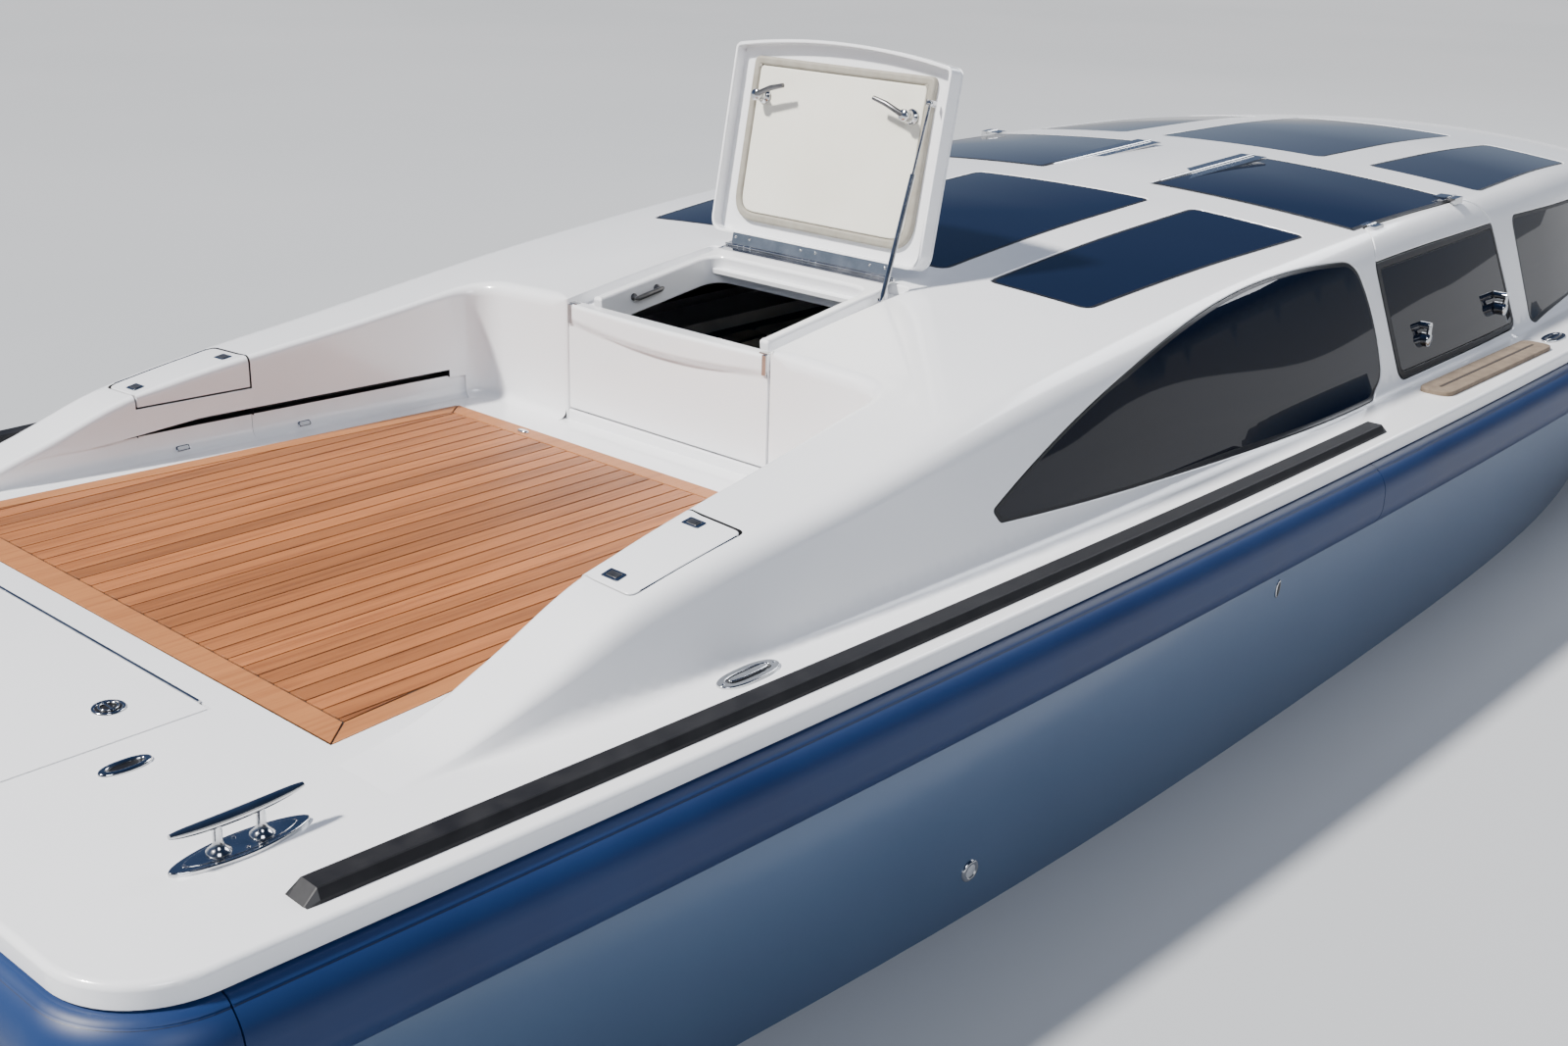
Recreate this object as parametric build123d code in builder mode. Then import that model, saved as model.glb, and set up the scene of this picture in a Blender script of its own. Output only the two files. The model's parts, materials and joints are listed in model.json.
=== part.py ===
"""Limousine-type power boat with a glazed, vaulted cabin and an aft teak cockpit.

Millimetres. X runs forward, Y to port and Z up. The origin is amidships, on the
centreline, at the waterline. Stations are distances forward of the stern end.
"""
import os
from math import atan2, cos, degrees, radians, sin, sqrt, tan

from build123d import *

os.makedirs("parts", exist_ok=True)

# Overall sizes
LENGTH = 9400.0
DECK_Z = 760.0
DECK_THICKNESS = 40.0
HULL_TOP = DECK_Z - DECK_THICKNESS
DECK_OVERHANG = 35.0
SIDES = (("starboard", -1), ("port", 1))

# Plan of the deck edge: flat stern, rounded quarter, long side arc, bow arc and rounded stem
DECK_AFT = 90.0
QUARTER_RADIUS = 170.0
HALF_BEAM = 1283.0
WIDEST = 3700.0
SIDE_RADIUS = 75000.0
BOW_ARC_START = 6200.0
DECK_TIP = 9350.0
STEM_RADIUS = 260.0

# Clearances
MOVING_GAP = 5.0
SEAT_GAP = 0.3
GLASS_GAP = 0.5

# Cabin moulding
WALL = 35.0
GLASS_THICKNESS = 10.0
BULKHEAD = 2280.0
SOLE_Z = -130.0
WELL_AFT = BULKHEAD + WALL


def station(from_stern):
    """X of a station given as its distance forward of the stern end."""
    return from_stern - LENGTH / 2


def side_at(from_stern):
    """Half-breadth of the deck edge on the side arc."""
    along = from_stern - WIDEST
    return HALF_BEAM - SIDE_RADIUS + sqrt(SIDE_RADIUS**2 - along**2)


# The bow arc leaves the side arc on its tangent and meets the centreline at the tip
BOW_SLOPE = (BOW_ARC_START - WIDEST) / SIDE_RADIUS
BOW_START_HALF = side_at(BOW_ARC_START)
BOW_RUN = DECK_TIP - BOW_ARC_START
BOW_COS = sqrt(1 - BOW_SLOPE**2)
BOW_RADIUS = (BOW_RUN**2 + BOW_START_HALF**2) / (2 * (BOW_START_HALF * BOW_COS - BOW_RUN * BOW_SLOPE))
BOW_CENTRE = BOW_ARC_START - BOW_RADIUS * BOW_SLOPE
BOW_CENTRE_HALF = BOW_START_HALF - BOW_RADIUS * BOW_COS


def edge_at(from_stern):
    """Half-breadth of the deck edge anywhere along the boat."""
    if from_stern <= BOW_ARC_START:
        return side_at(from_stern)
    return BOW_CENTRE_HALF + sqrt(max(0.0, BOW_RADIUS**2 - (from_stern - BOW_CENTRE) ** 2))


def plan_outline(inset=0.0):
    """Deck plan, drawn in the XY plane, with its edge moved in by the inset."""
    aft = DECK_AFT + inset
    tip = DECK_TIP - inset / cos(atan2(DECK_TIP - BOW_CENTRE, -BOW_CENTRE_HALF))
    middle = (BOW_ARC_START + tip) / 2
    with BuildSketch(mode=Mode.PRIVATE) as plan:
        with BuildLine():
            for sign in (-1, 1):
                stern = (station(aft), sign * (side_at(aft) - inset))
                widest = (station(WIDEST), sign * (HALF_BEAM - inset))
                bow = (station(BOW_ARC_START), sign * (BOW_START_HALF - inset))
                fore = (station(middle), sign * (edge_at(middle) - inset))
                Line((station(aft), 0), stern)
                ThreePointArc(stern, widest, bow)
                ThreePointArc(bow, fore, (station(tip), 0))
        make_face()
        corners = plan.vertices().sort_by(Axis.X)
        quarters = [v for v in corners if v.X < station(aft) + 1 and abs(v.Y) > 1]
        fillet(quarters, QUARTER_RADIUS)
        fillet(plan.vertices().sort_by(Axis.X)[-1], STEM_RADIUS)
    return plan.sketch


# Hull sections: distance from the stern, breadth past the plan edge, chine half-breadth, chine Z, keel Z
HULL_SECTIONS = (
    (60, 0, 1120, -110, -430),
    (2000, 0, 1165, -110, -480),
    (3700, 0, 1180, -100, -500),
    (5400, 0, 1110, -60, -500),
    (6800, 0, 880, 40, -450),
    (8000, 0, 480, 210, -300),
    (8800, 0, 170, 400, 20),
    (9330, 60, 20, 640, 560),
)


# Cabin well: corners as distance from the stern and half-breadth
WELL_CORNERS = ((WELL_AFT, 860), (4800, 860), (6500, 520), (7000, 400))
ENGINE_BAY = (1000, 2000, 450, -200)
DRIVE_WELL_FORE = 620.0
DRIVE_WELL_TOP = 150.0


def mirrored(corners):
    """Closed outline of a shape given by its port half, as (distance from the stern, half-breadth)."""
    port = [(station(x), y) for x, y in corners]
    return port + [(x, -y) for x, y in reversed(port)]


def box_between(aft, fore, right, left, low, high, mode=Mode.ADD):
    """Box between two stations, two breadths and two heights."""
    with Locations((station((aft + fore) / 2), (right + left) / 2, (low + high) / 2)):
        Box(fore - aft, left - right, high - low, mode=mode)


def finish(piece, name):
    """Label a finished sub-part and write its file."""
    piece.part.label = name
    export_step(piece.part, "parts/" + name + ".step")


with BuildPart() as hull:
    for from_stern, spare, chine_half, chine_z, keel_z in HULL_SECTIONS:
        top_half = edge_at(from_stern) - DECK_OVERHANG + spare
        with BuildSketch(Plane.YZ.offset(station(from_stern))):
            Polygon(
                (0, keel_z),
                (chine_half, chine_z),
                (top_half, HULL_TOP),
                (-top_half, HULL_TOP),
                (-chine_half, chine_z),
                align=None,
            )
    loft()
    with BuildSketch(Plane.XY.offset(-1000)):
        add(plan_outline(DECK_OVERHANG))
    extrude(amount=1000 + HULL_TOP, mode=Mode.INTERSECT)
    with BuildSketch(Plane.XY.offset(SOLE_Z)):
        Polygon(*mirrored(WELL_CORNERS), align=None)
    extrude(amount=HULL_TOP - SOLE_Z, mode=Mode.SUBTRACT)
    bay_aft, bay_fore, bay_half, bay_floor = ENGINE_BAY
    box_between(bay_aft, bay_fore, -bay_half, bay_half, bay_floor, HULL_TOP, Mode.SUBTRACT)
    box_between(0, DRIVE_WELL_FORE, -HALF_BEAM, HALF_BEAM, -1000, DRIVE_WELL_TOP, Mode.SUBTRACT)
finish(hull, "hull")

# Engine, as one block on the bay's floor
ENGINE_LENGTH = 900.0
ENGINE_WIDTH = 820.0
ENGINE_HEIGHT = 700.0
with BuildPart() as engine_block:
    middle = (ENGINE_BAY[0] + ENGINE_BAY[1]) / 2
    box_between(
        middle - ENGINE_LENGTH / 2,
        middle + ENGINE_LENGTH / 2,
        -ENGINE_WIDTH / 2,
        ENGINE_WIDTH / 2,
        ENGINE_BAY[3],
        ENGINE_BAY[3] + ENGINE_HEIGHT,
    )
finish(engine_block, "engine_block")

# Collar: a deep rounded fender right round the sheer, in five lengths
COLLAR_PROUD = 85.0
COLLAR_TOP = HULL_TOP - GLASS_GAP
COLLAR_BOTTOM = 530.0
COLLAR_ROUND = 78.0
COLLAR_SEAM = 3.0
STERN_SEAM = 255.0
SIDE_SEAM = 3660.0
PAST_BOW = LENGTH + 300

with BuildPart() as collar:
    with BuildSketch(Plane.XY.offset(COLLAR_BOTTOM)):
        add(plan_outline(DECK_OVERHANG - COLLAR_PROUD))
    extrude(amount=COLLAR_TOP - COLLAR_BOTTOM)
    rims = collar.edges().group_by(Axis.Z)
    fillet(rims[0] + rims[-1], COLLAR_ROUND)
    with BuildSketch(Plane.XY.offset(COLLAR_BOTTOM)):
        add(plan_outline(DECK_OVERHANG - GLASS_GAP))
    extrude(amount=COLLAR_TOP - COLLAR_BOTTOM, mode=Mode.SUBTRACT)
for name, aft, fore, right, left in (
    ("collar_stern", -300, STERN_SEAM, -2000, 2000),
    ("collar_aft_starboard", STERN_SEAM + COLLAR_SEAM, SIDE_SEAM, -2000, 0),
    ("collar_aft_port", STERN_SEAM + COLLAR_SEAM, SIDE_SEAM, 0, 2000),
    ("collar_fore_starboard", SIDE_SEAM + COLLAR_SEAM, PAST_BOW, -2000, -COLLAR_SEAM / 2),
    ("collar_fore_port", SIDE_SEAM + COLLAR_SEAM, PAST_BOW, COLLAR_SEAM / 2, 2000),
):
    with BuildPart() as length_of_collar:
        add(collar.part)
        box_between(aft, fore, right, left, 0, 2000, Mode.INTERSECT)
    finish(length_of_collar, name)

# Teak: trapezoid between the coamings; corners as distance from the stern and half-breadth
TEAK_CORNERS = ((735, 772), (2144, 656))
TEAK_RECESS = 10.0
TEAK_PROUD = 2.0

# Platform hatch in the stern deck
HATCH_AFT = 190.0
HATCH_FORE = 665.0
HATCH_HALF = 505.0
HATCH_THICKNESS = 28.0

with BuildPart() as deck:
    with BuildSketch(Plane.XY.offset(HULL_TOP)):
        add(plan_outline())
    extrude(amount=DECK_THICKNESS)
    fillet(deck.edges().group_by(Axis.Z)[-1], 12)
    with BuildSketch(Plane.XY.offset(HULL_TOP)):
        Polygon(*mirrored(WELL_CORNERS), align=None)
    extrude(amount=DECK_THICKNESS, mode=Mode.SUBTRACT)
    with BuildSketch(Plane.XY.offset(DECK_Z - TEAK_RECESS)):
        Polygon(*mirrored(TEAK_CORNERS), align=None)
    extrude(amount=TEAK_RECESS, mode=Mode.SUBTRACT)
    box_between(
        HATCH_AFT - MOVING_GAP,
        HATCH_FORE + MOVING_GAP,
        -HATCH_HALF - MOVING_GAP,
        HATCH_HALF + MOVING_GAP,
        DECK_Z - HATCH_THICKNESS - SEAT_GAP,
        DECK_Z + 1,
        Mode.SUBTRACT,
    )
finish(deck, "deck")

with BuildPart() as teak_deck:
    with BuildSketch(Plane.XY.offset(DECK_Z - TEAK_RECESS)):
        Polygon(*mirrored(TEAK_CORNERS), align=None)
        offset(amount=-GLASS_GAP)
    extrude(amount=TEAK_RECESS + TEAK_PROUD)
finish(teak_deck, "teak_deck")

with BuildPart() as platform_hatch:
    box_between(HATCH_AFT, HATCH_FORE, -HATCH_HALF, HATCH_HALF, DECK_Z - HATCH_THICKNESS, DECK_Z)
finish(platform_hatch, "platform_hatch")

# Superstructure: from the coaming tips up over the cabin and down to the windscreen's foot.
# Columns: distance from the stern, then heights above the deck and half-breadths:
# crown height, roof edge height, roof edge half, shoulder height, shoulder half, base half
CABIN_SECTIONS = (
    (770, 16, 12, 950, 6, 975, 985),
    (1280, 182, 160, 935, 115, 985, 1024),
    (1900, 275, 247, 925, 195, 1000, 1050),
    (2700, 390, 352, 912, 278, 1000, 1072),
    (3700, 475, 430, 905, 340, 985, 1078),
    (4700, 508, 458, 895, 370, 970, 1070),
    (5600, 505, 455, 850, 370, 930, 1035),
    (6400, 475, 425, 760, 345, 850, 960),
    (6900, 430, 380, 680, 300, 770, 890),
    (7800, 90, 75, 380, 50, 460, 560),
    (8050, 14, 10, 280, 6, 300, 310),
)
SHOULDER_BULGE = 0.18
# How far each corner of a section moves in for one unit of inset: (inwards, down)
EDGE_INSET = (0.35, 0.94)
SHOULDER_INSET = (0.97, 0.2)


# A thin end section takes only this share of its crown height as inset
END_INSET = 0.4


def cabin_skin(full_inset, foot):
    """Loft of the superstructure moved in by an inset, standing on the given height."""
    with BuildPart() as skin:
        for from_stern, crown, edge_z, edge_half, shoulder_z, shoulder_half, base_half in CABIN_SECTIONS:
            inset = min(full_inset, END_INSET * crown)
            edge = (edge_half - EDGE_INSET[0] * inset, DECK_Z + edge_z - EDGE_INSET[1] * inset)
            shoulder = (
                shoulder_half - SHOULDER_INSET[0] * inset,
                DECK_Z + shoulder_z - SHOULDER_INSET[1] * inset,
            )
            chord = (shoulder[0] - edge[0], edge[1] - shoulder[1])
            bulge = (
                (shoulder[0] + edge[0]) / 2 + SHOULDER_BULGE * chord[1],
                (shoulder[1] + edge[1]) / 2 + SHOULDER_BULGE * chord[0],
            )
            base = base_half - inset
            with BuildSketch(Plane.YZ.offset(station(from_stern))):
                with BuildLine():
                    Line((-base, foot), (base, foot))
                    Line((base, foot), shoulder)
                    ThreePointArc(shoulder, bulge, edge)
                    ThreePointArc(edge, (0, DECK_Z + crown - inset), (-edge[0], edge[1]))
                    ThreePointArc((-edge[0], edge[1]), (-bulge[0], bulge[1]), (-shoulder[0], shoulder[1]))
                    Line((-shoulder[0], shoulder[1]), (-base, foot))
                make_face()
        loft()
    return skin.part


outer_skin = cabin_skin(0, DECK_Z)
glass_skin = cabin_skin(GLASS_THICKNESS, DECK_Z - 5)
inner_skin = cabin_skin(WALL, DECK_Z - 5)

# Cockpit between the coamings
COCKPIT_AFT = 600.0
COCKPIT_AFT_HALF = 851.0
COCKPIT_FORE_HALF = 713.0
COCKPIT_CORNERS = ((COCKPIT_AFT, COCKPIT_AFT_HALF), (BULKHEAD, COCKPIT_FORE_HALF))
HIGH = DECK_Z + 1200

# Companionway in the aft bulkhead and roof
ENTRY_HALF = 358.0
ENTRY_FORE = 2825.0
ENTRY_SILL = DECK_Z + 28
DOOR_THICKNESS = 30.0
DOOR_TOP = DECK_Z + 318

# Roof flaps, hinged along the spine, and the side doors that hang from their outboard edges
FLAP_AFT = 4225.0
FLAP_FORE = 4950.0
FLAP_INBOARD = 205.0
FLAP_OUTBOARD = 893.0
DOOR_INBOARD = FLAP_OUTBOARD + MOVING_GAP + 1
# Hinge lines of a flap and a door, along the roof: distance from the stern of a point, its half-breadth
# and height, and the line's rise for each unit forward
FLAP_HINGE = (4286.0, FLAP_INBOARD - MOVING_GAP / 2, DECK_Z + 495.9, 0.0377)
DOOR_HINGE = (4300.0, FLAP_OUTBOARD + MOVING_GAP / 2, DECK_Z + 452.8, 0.0291)
# Side door outline on the skin: distance from the stern, half-breadth and height above the deck
DOOR_OUTLINE = (
    (4275, 901.6, 446),
    (4245, 976.3, 370),
    (4300, 1067.6, 24),
    (5240, 1048.4, 24),
    (5130, 959.0, 372),
    (4985, 932.3, 446),
)

# Side windows, as distance from the stern and height above the deck
AFT_WINDOW_TIP = (2292, 92)
AFT_WINDOW_TOP = (3000, 337)
AFT_WINDOW_SHOULDER = (4050, 385)
AFT_WINDOW_FRONT_TOP = (4140, 340)
AFT_WINDOW_FRONT = (4172, 40)
AFT_WINDOW_FRONT_LOW = (4120, 4)
AFT_WINDOW_BOTTOM = (3120, 28)
AFT_WINDOW_BOTTOM_TIP = (2312, 74)
FORE_WINDOW = ((5317, 370), (5395, 12), (6560, 70), (6250, 330))
# The side door's own glass
DOOR_GLASS = ((4262, 350), (4316, 46), (5215, 46), (5112, 352))

# Roof glass, as (aft, fore, inboard half-breadth, outboard half-breadth); the centre panes run across
ROOF_PANES = ((3000, 4035, 0, 325), (3000, 4035, 465, 810), (5157, 6290, 0, 318), (5175, 6223, 484, 780))
WINDSCREEN = ((6980, 600), (7720, 330))


def side_outline(points):
    """Face in the XZ plane from points given as distance from the stern and height above the deck."""
    with BuildSketch(Plane.XZ, mode=Mode.PRIVATE) as outline:
        Polygon(*[(station(x), DECK_Z + z) for x, z in points], align=None)
    return outline.sketch


def aft_window_outline():
    """Teardrop of the aft side window."""
    tip, top, shoulder, front_top, front, front_low, bottom, bottom_tip = [
        (station(x), DECK_Z + z)
        for x, z in (
            AFT_WINDOW_TIP,
            AFT_WINDOW_TOP,
            AFT_WINDOW_SHOULDER,
            AFT_WINDOW_FRONT_TOP,
            AFT_WINDOW_FRONT,
            AFT_WINDOW_FRONT_LOW,
            AFT_WINDOW_BOTTOM,
            AFT_WINDOW_BOTTOM_TIP,
        )
    ]
    with BuildSketch(Plane.XZ, mode=Mode.PRIVATE) as outline:
        with BuildLine():
            ThreePointArc(tip, top, shoulder)
            Line(shoulder, front_top)
            Line(front_top, front)
            Line(front, front_low)
            ThreePointArc(front_low, bottom, bottom_tip)
            Line(bottom_tip, tip)
        make_face()
    return outline.sketch


def window_cutters(gap):
    """Prisms of the four side windows, eased by a gap."""
    with BuildPart() as prisms:
        for outline in (aft_window_outline(), side_outline(FORE_WINDOW)):
            for offset_y in (-700, 700):
                with BuildSketch(Plane.XZ.offset(offset_y)):
                    add(outline)
                    if gap:
                        offset(amount=-gap)
                extrude(amount=500, both=True)
    return prisms.part


with BuildPart() as roof_holes:
    for aft, fore, inboard, outboard in ROOF_PANES:
        spans = ((-outboard, outboard),) if inboard == 0 else ((-outboard, -inboard), (inboard, outboard))
        for right, left in spans:
            box_between(aft, fore, right, left, DECK_Z + 250, HIGH)
with BuildPart() as roof_plugs:
    for aft, fore, inboard, outboard in ROOF_PANES:
        spans = ((-outboard, outboard),) if inboard == 0 else ((-outboard, -inboard), (inboard, outboard))
        for right, left in spans:
            box_between(
                aft + GLASS_GAP, fore - GLASS_GAP, right + GLASS_GAP, left - GLASS_GAP, DECK_Z + 250, HIGH
            )
with BuildPart() as screen_hole:
    with BuildSketch(Plane.XY.offset(DECK_Z + 30)):
        Polygon(*mirrored(WINDSCREEN), align=None)
    extrude(amount=600)
with BuildPart() as screen_plug:
    with BuildSketch(Plane.XY.offset(DECK_Z + 30)):
        Polygon(*mirrored(WINDSCREEN), align=None)
        offset(amount=-GLASS_GAP)
    extrude(amount=600)


def hinge_plane(hinge, sign, from_stern):
    """Plane at a station of a hinge line: x along it, y to port, z up from the roof."""
    start, half, low, rise = hinge
    return Plane(
        origin=(station(from_stern), sign * half, low + rise * (from_stern - start)),
        x_dir=(1, 0, rise),
        z_dir=(-rise, 0, 1),
    )


def door_ring(sign, gap):
    """Region of one side door, turned about its hinge line so that its edges swing clear of the shell."""
    line = hinge_plane(DOOR_HINGE, sign, DOOR_HINGE[0])
    profile = []
    for from_stern, half, up in DOOR_OUTLINE:
        reach = Vector(station(from_stern), sign * half, DECK_Z + up) - line.origin
        run = reach.dot(line.x_dir)
        profile.append((run, sqrt(reach.dot(reach) - run**2)))
    profile = [(profile[0][0], 0), *profile, (profile[-1][0], 0)]
    with BuildPart() as ring:
        with BuildSketch(Plane(origin=line.origin, x_dir=line.x_dir, z_dir=line.y_dir)):
            Polygon(*profile, align=None)
            if gap:
                offset(amount=gap)
                Rectangle(4000, 100, align=(Align.CENTER, Align.MAX), mode=Mode.SUBTRACT)
        revolve(axis=Axis(line.origin, line.x_dir))
        box_between(3000, 6500, -DOOR_INBOARD + gap, DOOR_INBOARD - gap, 0, HIGH, Mode.SUBTRACT)
    return ring.part


with BuildPart() as moulding:
    add(outer_skin)
    with BuildPart(mode=Mode.PRIVATE) as hollow:
        add(inner_skin)
        box_between(0, WELL_AFT, -2000, 2000, 0, HIGH, Mode.SUBTRACT)
    add(hollow.part, mode=Mode.SUBTRACT)

with BuildPart() as cabin_shell:
    add(moulding.part)
    box_between(0, BULKHEAD, -2000, 2000, 0, HIGH, Mode.SUBTRACT)
    box_between(BULKHEAD - 1, ENTRY_FORE, -ENTRY_HALF, ENTRY_HALF, ENTRY_SILL, HIGH, Mode.SUBTRACT)
    add(window_cutters(0), mode=Mode.SUBTRACT)
    add(roof_holes.part, mode=Mode.SUBTRACT)
    add(screen_hole.part, mode=Mode.SUBTRACT)
    for name, sign in SIDES:
        right, left = sorted((sign * (FLAP_INBOARD - MOVING_GAP), sign * (FLAP_OUTBOARD + MOVING_GAP)))
        aft, fore = FLAP_AFT - MOVING_GAP, FLAP_FORE + MOVING_GAP
        box_between(aft, fore, right, left, DECK_Z + 250, HIGH, Mode.SUBTRACT)
        add(door_ring(sign, MOVING_GAP), mode=Mode.SUBTRACT)
finish(cabin_shell, "cabin_shell")

with BuildPart() as glazed:
    add(outer_skin)
    add(glass_skin, mode=Mode.SUBTRACT)
    box_between(0, BULKHEAD, -2000, 2000, 0, HIGH, Mode.SUBTRACT)
with BuildPart() as side_glass:
    add(glazed.part)
    add(window_cutters(GLASS_GAP), mode=Mode.INTERSECT)
finish(side_glass, "side_glass")
with BuildPart() as roof_glass:
    add(glazed.part)
    add(roof_plugs.part, mode=Mode.INTERSECT)
finish(roof_glass, "roof_glass")
with BuildPart() as windscreen:
    add(glazed.part)
    add(screen_plug.part, mode=Mode.INTERSECT)
finish(windscreen, "windscreen")

# Coamings each side of the cockpit, with a locker and a long slot under the overhang
LOCKER_AFT = 1285.0
LOCKER_FORE = 1580.0
LOCKER_OUTER = 930.0
LOCKER_AFT_TOP = DECK_Z + 161
LOCKER_FORE_TOP = DECK_Z + 207
LOCKER_LOW = DECK_Z + 133
LOCKER_LID_SKIN = 20.0
LOCKER_POCKET = (1310, 1548, 835, 915, 45)
SLOT_OUTLINE = ((1190, 60), (2222, 62), (2222, 82))
SLOT_DEPTH = 45.0

with BuildPart() as cockpit_space:
    with BuildSketch(Plane.XY.offset(DECK_Z)):
        Polygon(*mirrored(COCKPIT_CORNERS), align=None)
    extrude(amount=1200)
with BuildPart() as slot_space:
    with BuildSketch(Plane.XY.offset(DECK_Z)):
        Polygon(*mirrored([(x, half + SLOT_DEPTH) for x, half in COCKPIT_CORNERS]), align=None)
    extrude(amount=300)
    with BuildSketch(Plane.XZ):
        Polygon(*[(station(x), DECK_Z + z) for x, z in SLOT_OUTLINE], align=None)
    extrude(amount=2000, both=True, mode=Mode.INTERSECT)


# Plane along a locker lid's hinge: x runs up the sloping ridge, z is square to it
RIDGE_ANGLE = atan2(LOCKER_FORE_TOP - LOCKER_AFT_TOP, LOCKER_FORE - LOCKER_AFT)
ridge = Plane(
    origin=(station(LOCKER_AFT), 0, LOCKER_AFT_TOP),
    x_dir=(cos(RIDGE_ANGLE), 0, sin(RIDGE_ANGLE)),
    z_dir=(-sin(RIDGE_ANGLE), 0, cos(RIDGE_ANGLE)),
)
RIDGE_LENGTH = (LOCKER_FORE - LOCKER_AFT) / cos(RIDGE_ANGLE)


def locker_block(sign, gap):
    """Region of a locker lid: over the coaming's top and down its inner face."""
    with BuildPart() as block:
        right, left = sorted((sign * 500, sign * (LOCKER_OUTER + gap)))
        with BuildSketch(ridge.offset(-300), mode=Mode.PRIVATE) as face:
            with Locations((RIDGE_LENGTH / 2, (right + left) / 2)):
                Rectangle(RIDGE_LENGTH + 2 * gap, left - right)
        extrude(face.sketch, amount=600)
        box_between(LOCKER_AFT - 200, LOCKER_FORE + 200, right, left, 0, LOCKER_LOW - gap, Mode.SUBTRACT)
    return block.part


with BuildPart() as coamings:
    add(outer_skin)
    box_between(BULKHEAD, 9000, -2000, 2000, 0, HIGH, Mode.SUBTRACT)
    add(cockpit_space.part, mode=Mode.SUBTRACT)
for name, sign in SIDES:
    right, left = sorted((0, sign * 2000))
    with BuildPart() as coaming:
        add(coamings.part)
        box_between(0, 3000, right, left, 0, HIGH, Mode.INTERSECT)
        add(slot_space.part, mode=Mode.SUBTRACT)
        add(locker_block(sign, MOVING_GAP), mode=Mode.SUBTRACT)
        pocket_aft, pocket_fore, pocket_inner, pocket_outer, pocket_low = LOCKER_POCKET
        right, left = sorted((sign * pocket_inner, sign * pocket_outer))
        box_between(pocket_aft, pocket_fore, right, left, DECK_Z + pocket_low, HIGH, Mode.SUBTRACT)
    finish(coaming, "coaming_" + name)
    with BuildPart() as locker_lid:
        add(coamings.part)
        add(locker_block(sign, 0), mode=Mode.INTERSECT)
        with BuildPart(mode=Mode.PRIVATE) as under:
            add(coamings.part)
            add(locker_block(sign, -LOCKER_LID_SKIN), mode=Mode.INTERSECT)
        pocket = under.part.moved(Location((0, 0, -2 * LOCKER_LID_SKIN)))
        add(pocket, mode=Mode.SUBTRACT)
    finish(locker_lid, "locker_lid_" + name)

# Roof flaps and side doors, with their glass
FLAP_RIM = 45.0
HINGE_RADIUS = 5.0
DOOR_HINGES = (4330, 4905)
DOOR_HINGE_LENGTH = 60.0
KNOBS = ((4485, 150), (5080, 150))

for name, sign in SIDES:
    right, left = sorted((sign * FLAP_INBOARD, sign * FLAP_OUTBOARD))
    glass_right, glass_left = sorted((sign * (FLAP_INBOARD + FLAP_RIM), sign * (FLAP_OUTBOARD - 12)))
    glass_aft = FLAP_AFT + 12
    glass_fore = FLAP_FORE - 12
    with BuildPart() as roof_flap:
        add(moulding.part)
        box_between(FLAP_AFT, FLAP_FORE, right, left, DECK_Z + 250, HIGH, Mode.INTERSECT)
        with BuildPart(mode=Mode.PRIVATE) as pane:
            add(glazed.part)
            box_between(glass_aft, glass_fore, glass_right, glass_left, DECK_Z + 250, HIGH, Mode.INTERSECT)
        add(pane.part, mode=Mode.SUBTRACT)
        box_between(
            glass_aft + FLAP_RIM,
            glass_fore - FLAP_RIM,
            glass_right + FLAP_RIM,
            glass_left - FLAP_RIM,
            DECK_Z + 250,
            HIGH,
            Mode.SUBTRACT,
        )
    finish(roof_flap, "roof_flap_" + name)
    with BuildPart() as flap_glass:
        add(glazed.part)
        box_between(
            glass_aft + GLASS_GAP,
            glass_fore - GLASS_GAP,
            glass_right + GLASS_GAP,
            glass_left - GLASS_GAP,
            DECK_Z + 250,
            HIGH,
            Mode.INTERSECT,
        )
    finish(flap_glass, "roof_flap_glass_" + name)
    with BuildPart() as pane_prism:
        with BuildSketch(Plane.XZ):
            add(side_outline(DOOR_GLASS))
        extrude(amount=-1400 * sign)
        right, left = sorted((sign * 600, sign * 1400))
        box_between(3000, 6500, right, left, 0, HIGH, Mode.INTERSECT)
    with BuildPart() as pane_plug:
        with BuildSketch(Plane.XZ):
            add(side_outline(DOOR_GLASS))
            offset(amount=-GLASS_GAP)
        extrude(amount=-1400 * sign)
        box_between(3000, 6500, right, left, 0, HIGH, Mode.INTERSECT)
    with BuildPart() as side_door:
        add(moulding.part)
        add(door_ring(sign, 0), mode=Mode.INTERSECT)
        add(pane_prism.part, mode=Mode.SUBTRACT)
    finish(side_door, "side_door_" + name)
    with BuildPart() as door_glass:
        add(glazed.part)
        add(pane_plug.part, mode=Mode.INTERSECT)
    finish(door_glass, "side_door_glass_" + name)

# Companionway: bottom-hinged door in the bulkhead, rim round the roof opening, and the lid
LID_LOW_Z = DECK_Z + 335
LID_HIGH_Z = DECK_Z + 412
LID_HINGE = 2820.0
LID_LENGTH = 545.0
LID_HALF = 371.0
LID_THICKNESS = 50.0
LID_START = 30.0
LID_LIP = 30.0
LID_HINGE_CORNER = 45.0
LID_LIP_CORNER = 18.0
LID_OPEN = 109.0
RIM_OUTER = 310.0
RIM_INNER = 280.0
RIM_OPENING = (2290, 2745)
RIM_HEIGHT = 34.0
RIM_BELOW_LID = 6.0
GUTTER_PLATE = 12.0
LID_LEAVES = (-240, 0, 240)
LEAF_WIDTH = 70.0
LEAF_THICKNESS = 3.0
RIM_LEAF = 32.0
LID_HINGE_HALF = 300.0
HINGE_PIN = 4.0
DOOR_PIN = (BULKHEAD + 9, ENTRY_SILL + MOVING_GAP + 8)
DOOR_PIN_RADIUS = 4.0
DOOR_PIN_DEPTH = 14.0
PIN_PLAY = 0.05
lid_slope = degrees(atan2(LID_HIGH_Z - LID_LOW_Z, LID_HINGE - BULKHEAD))


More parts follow.
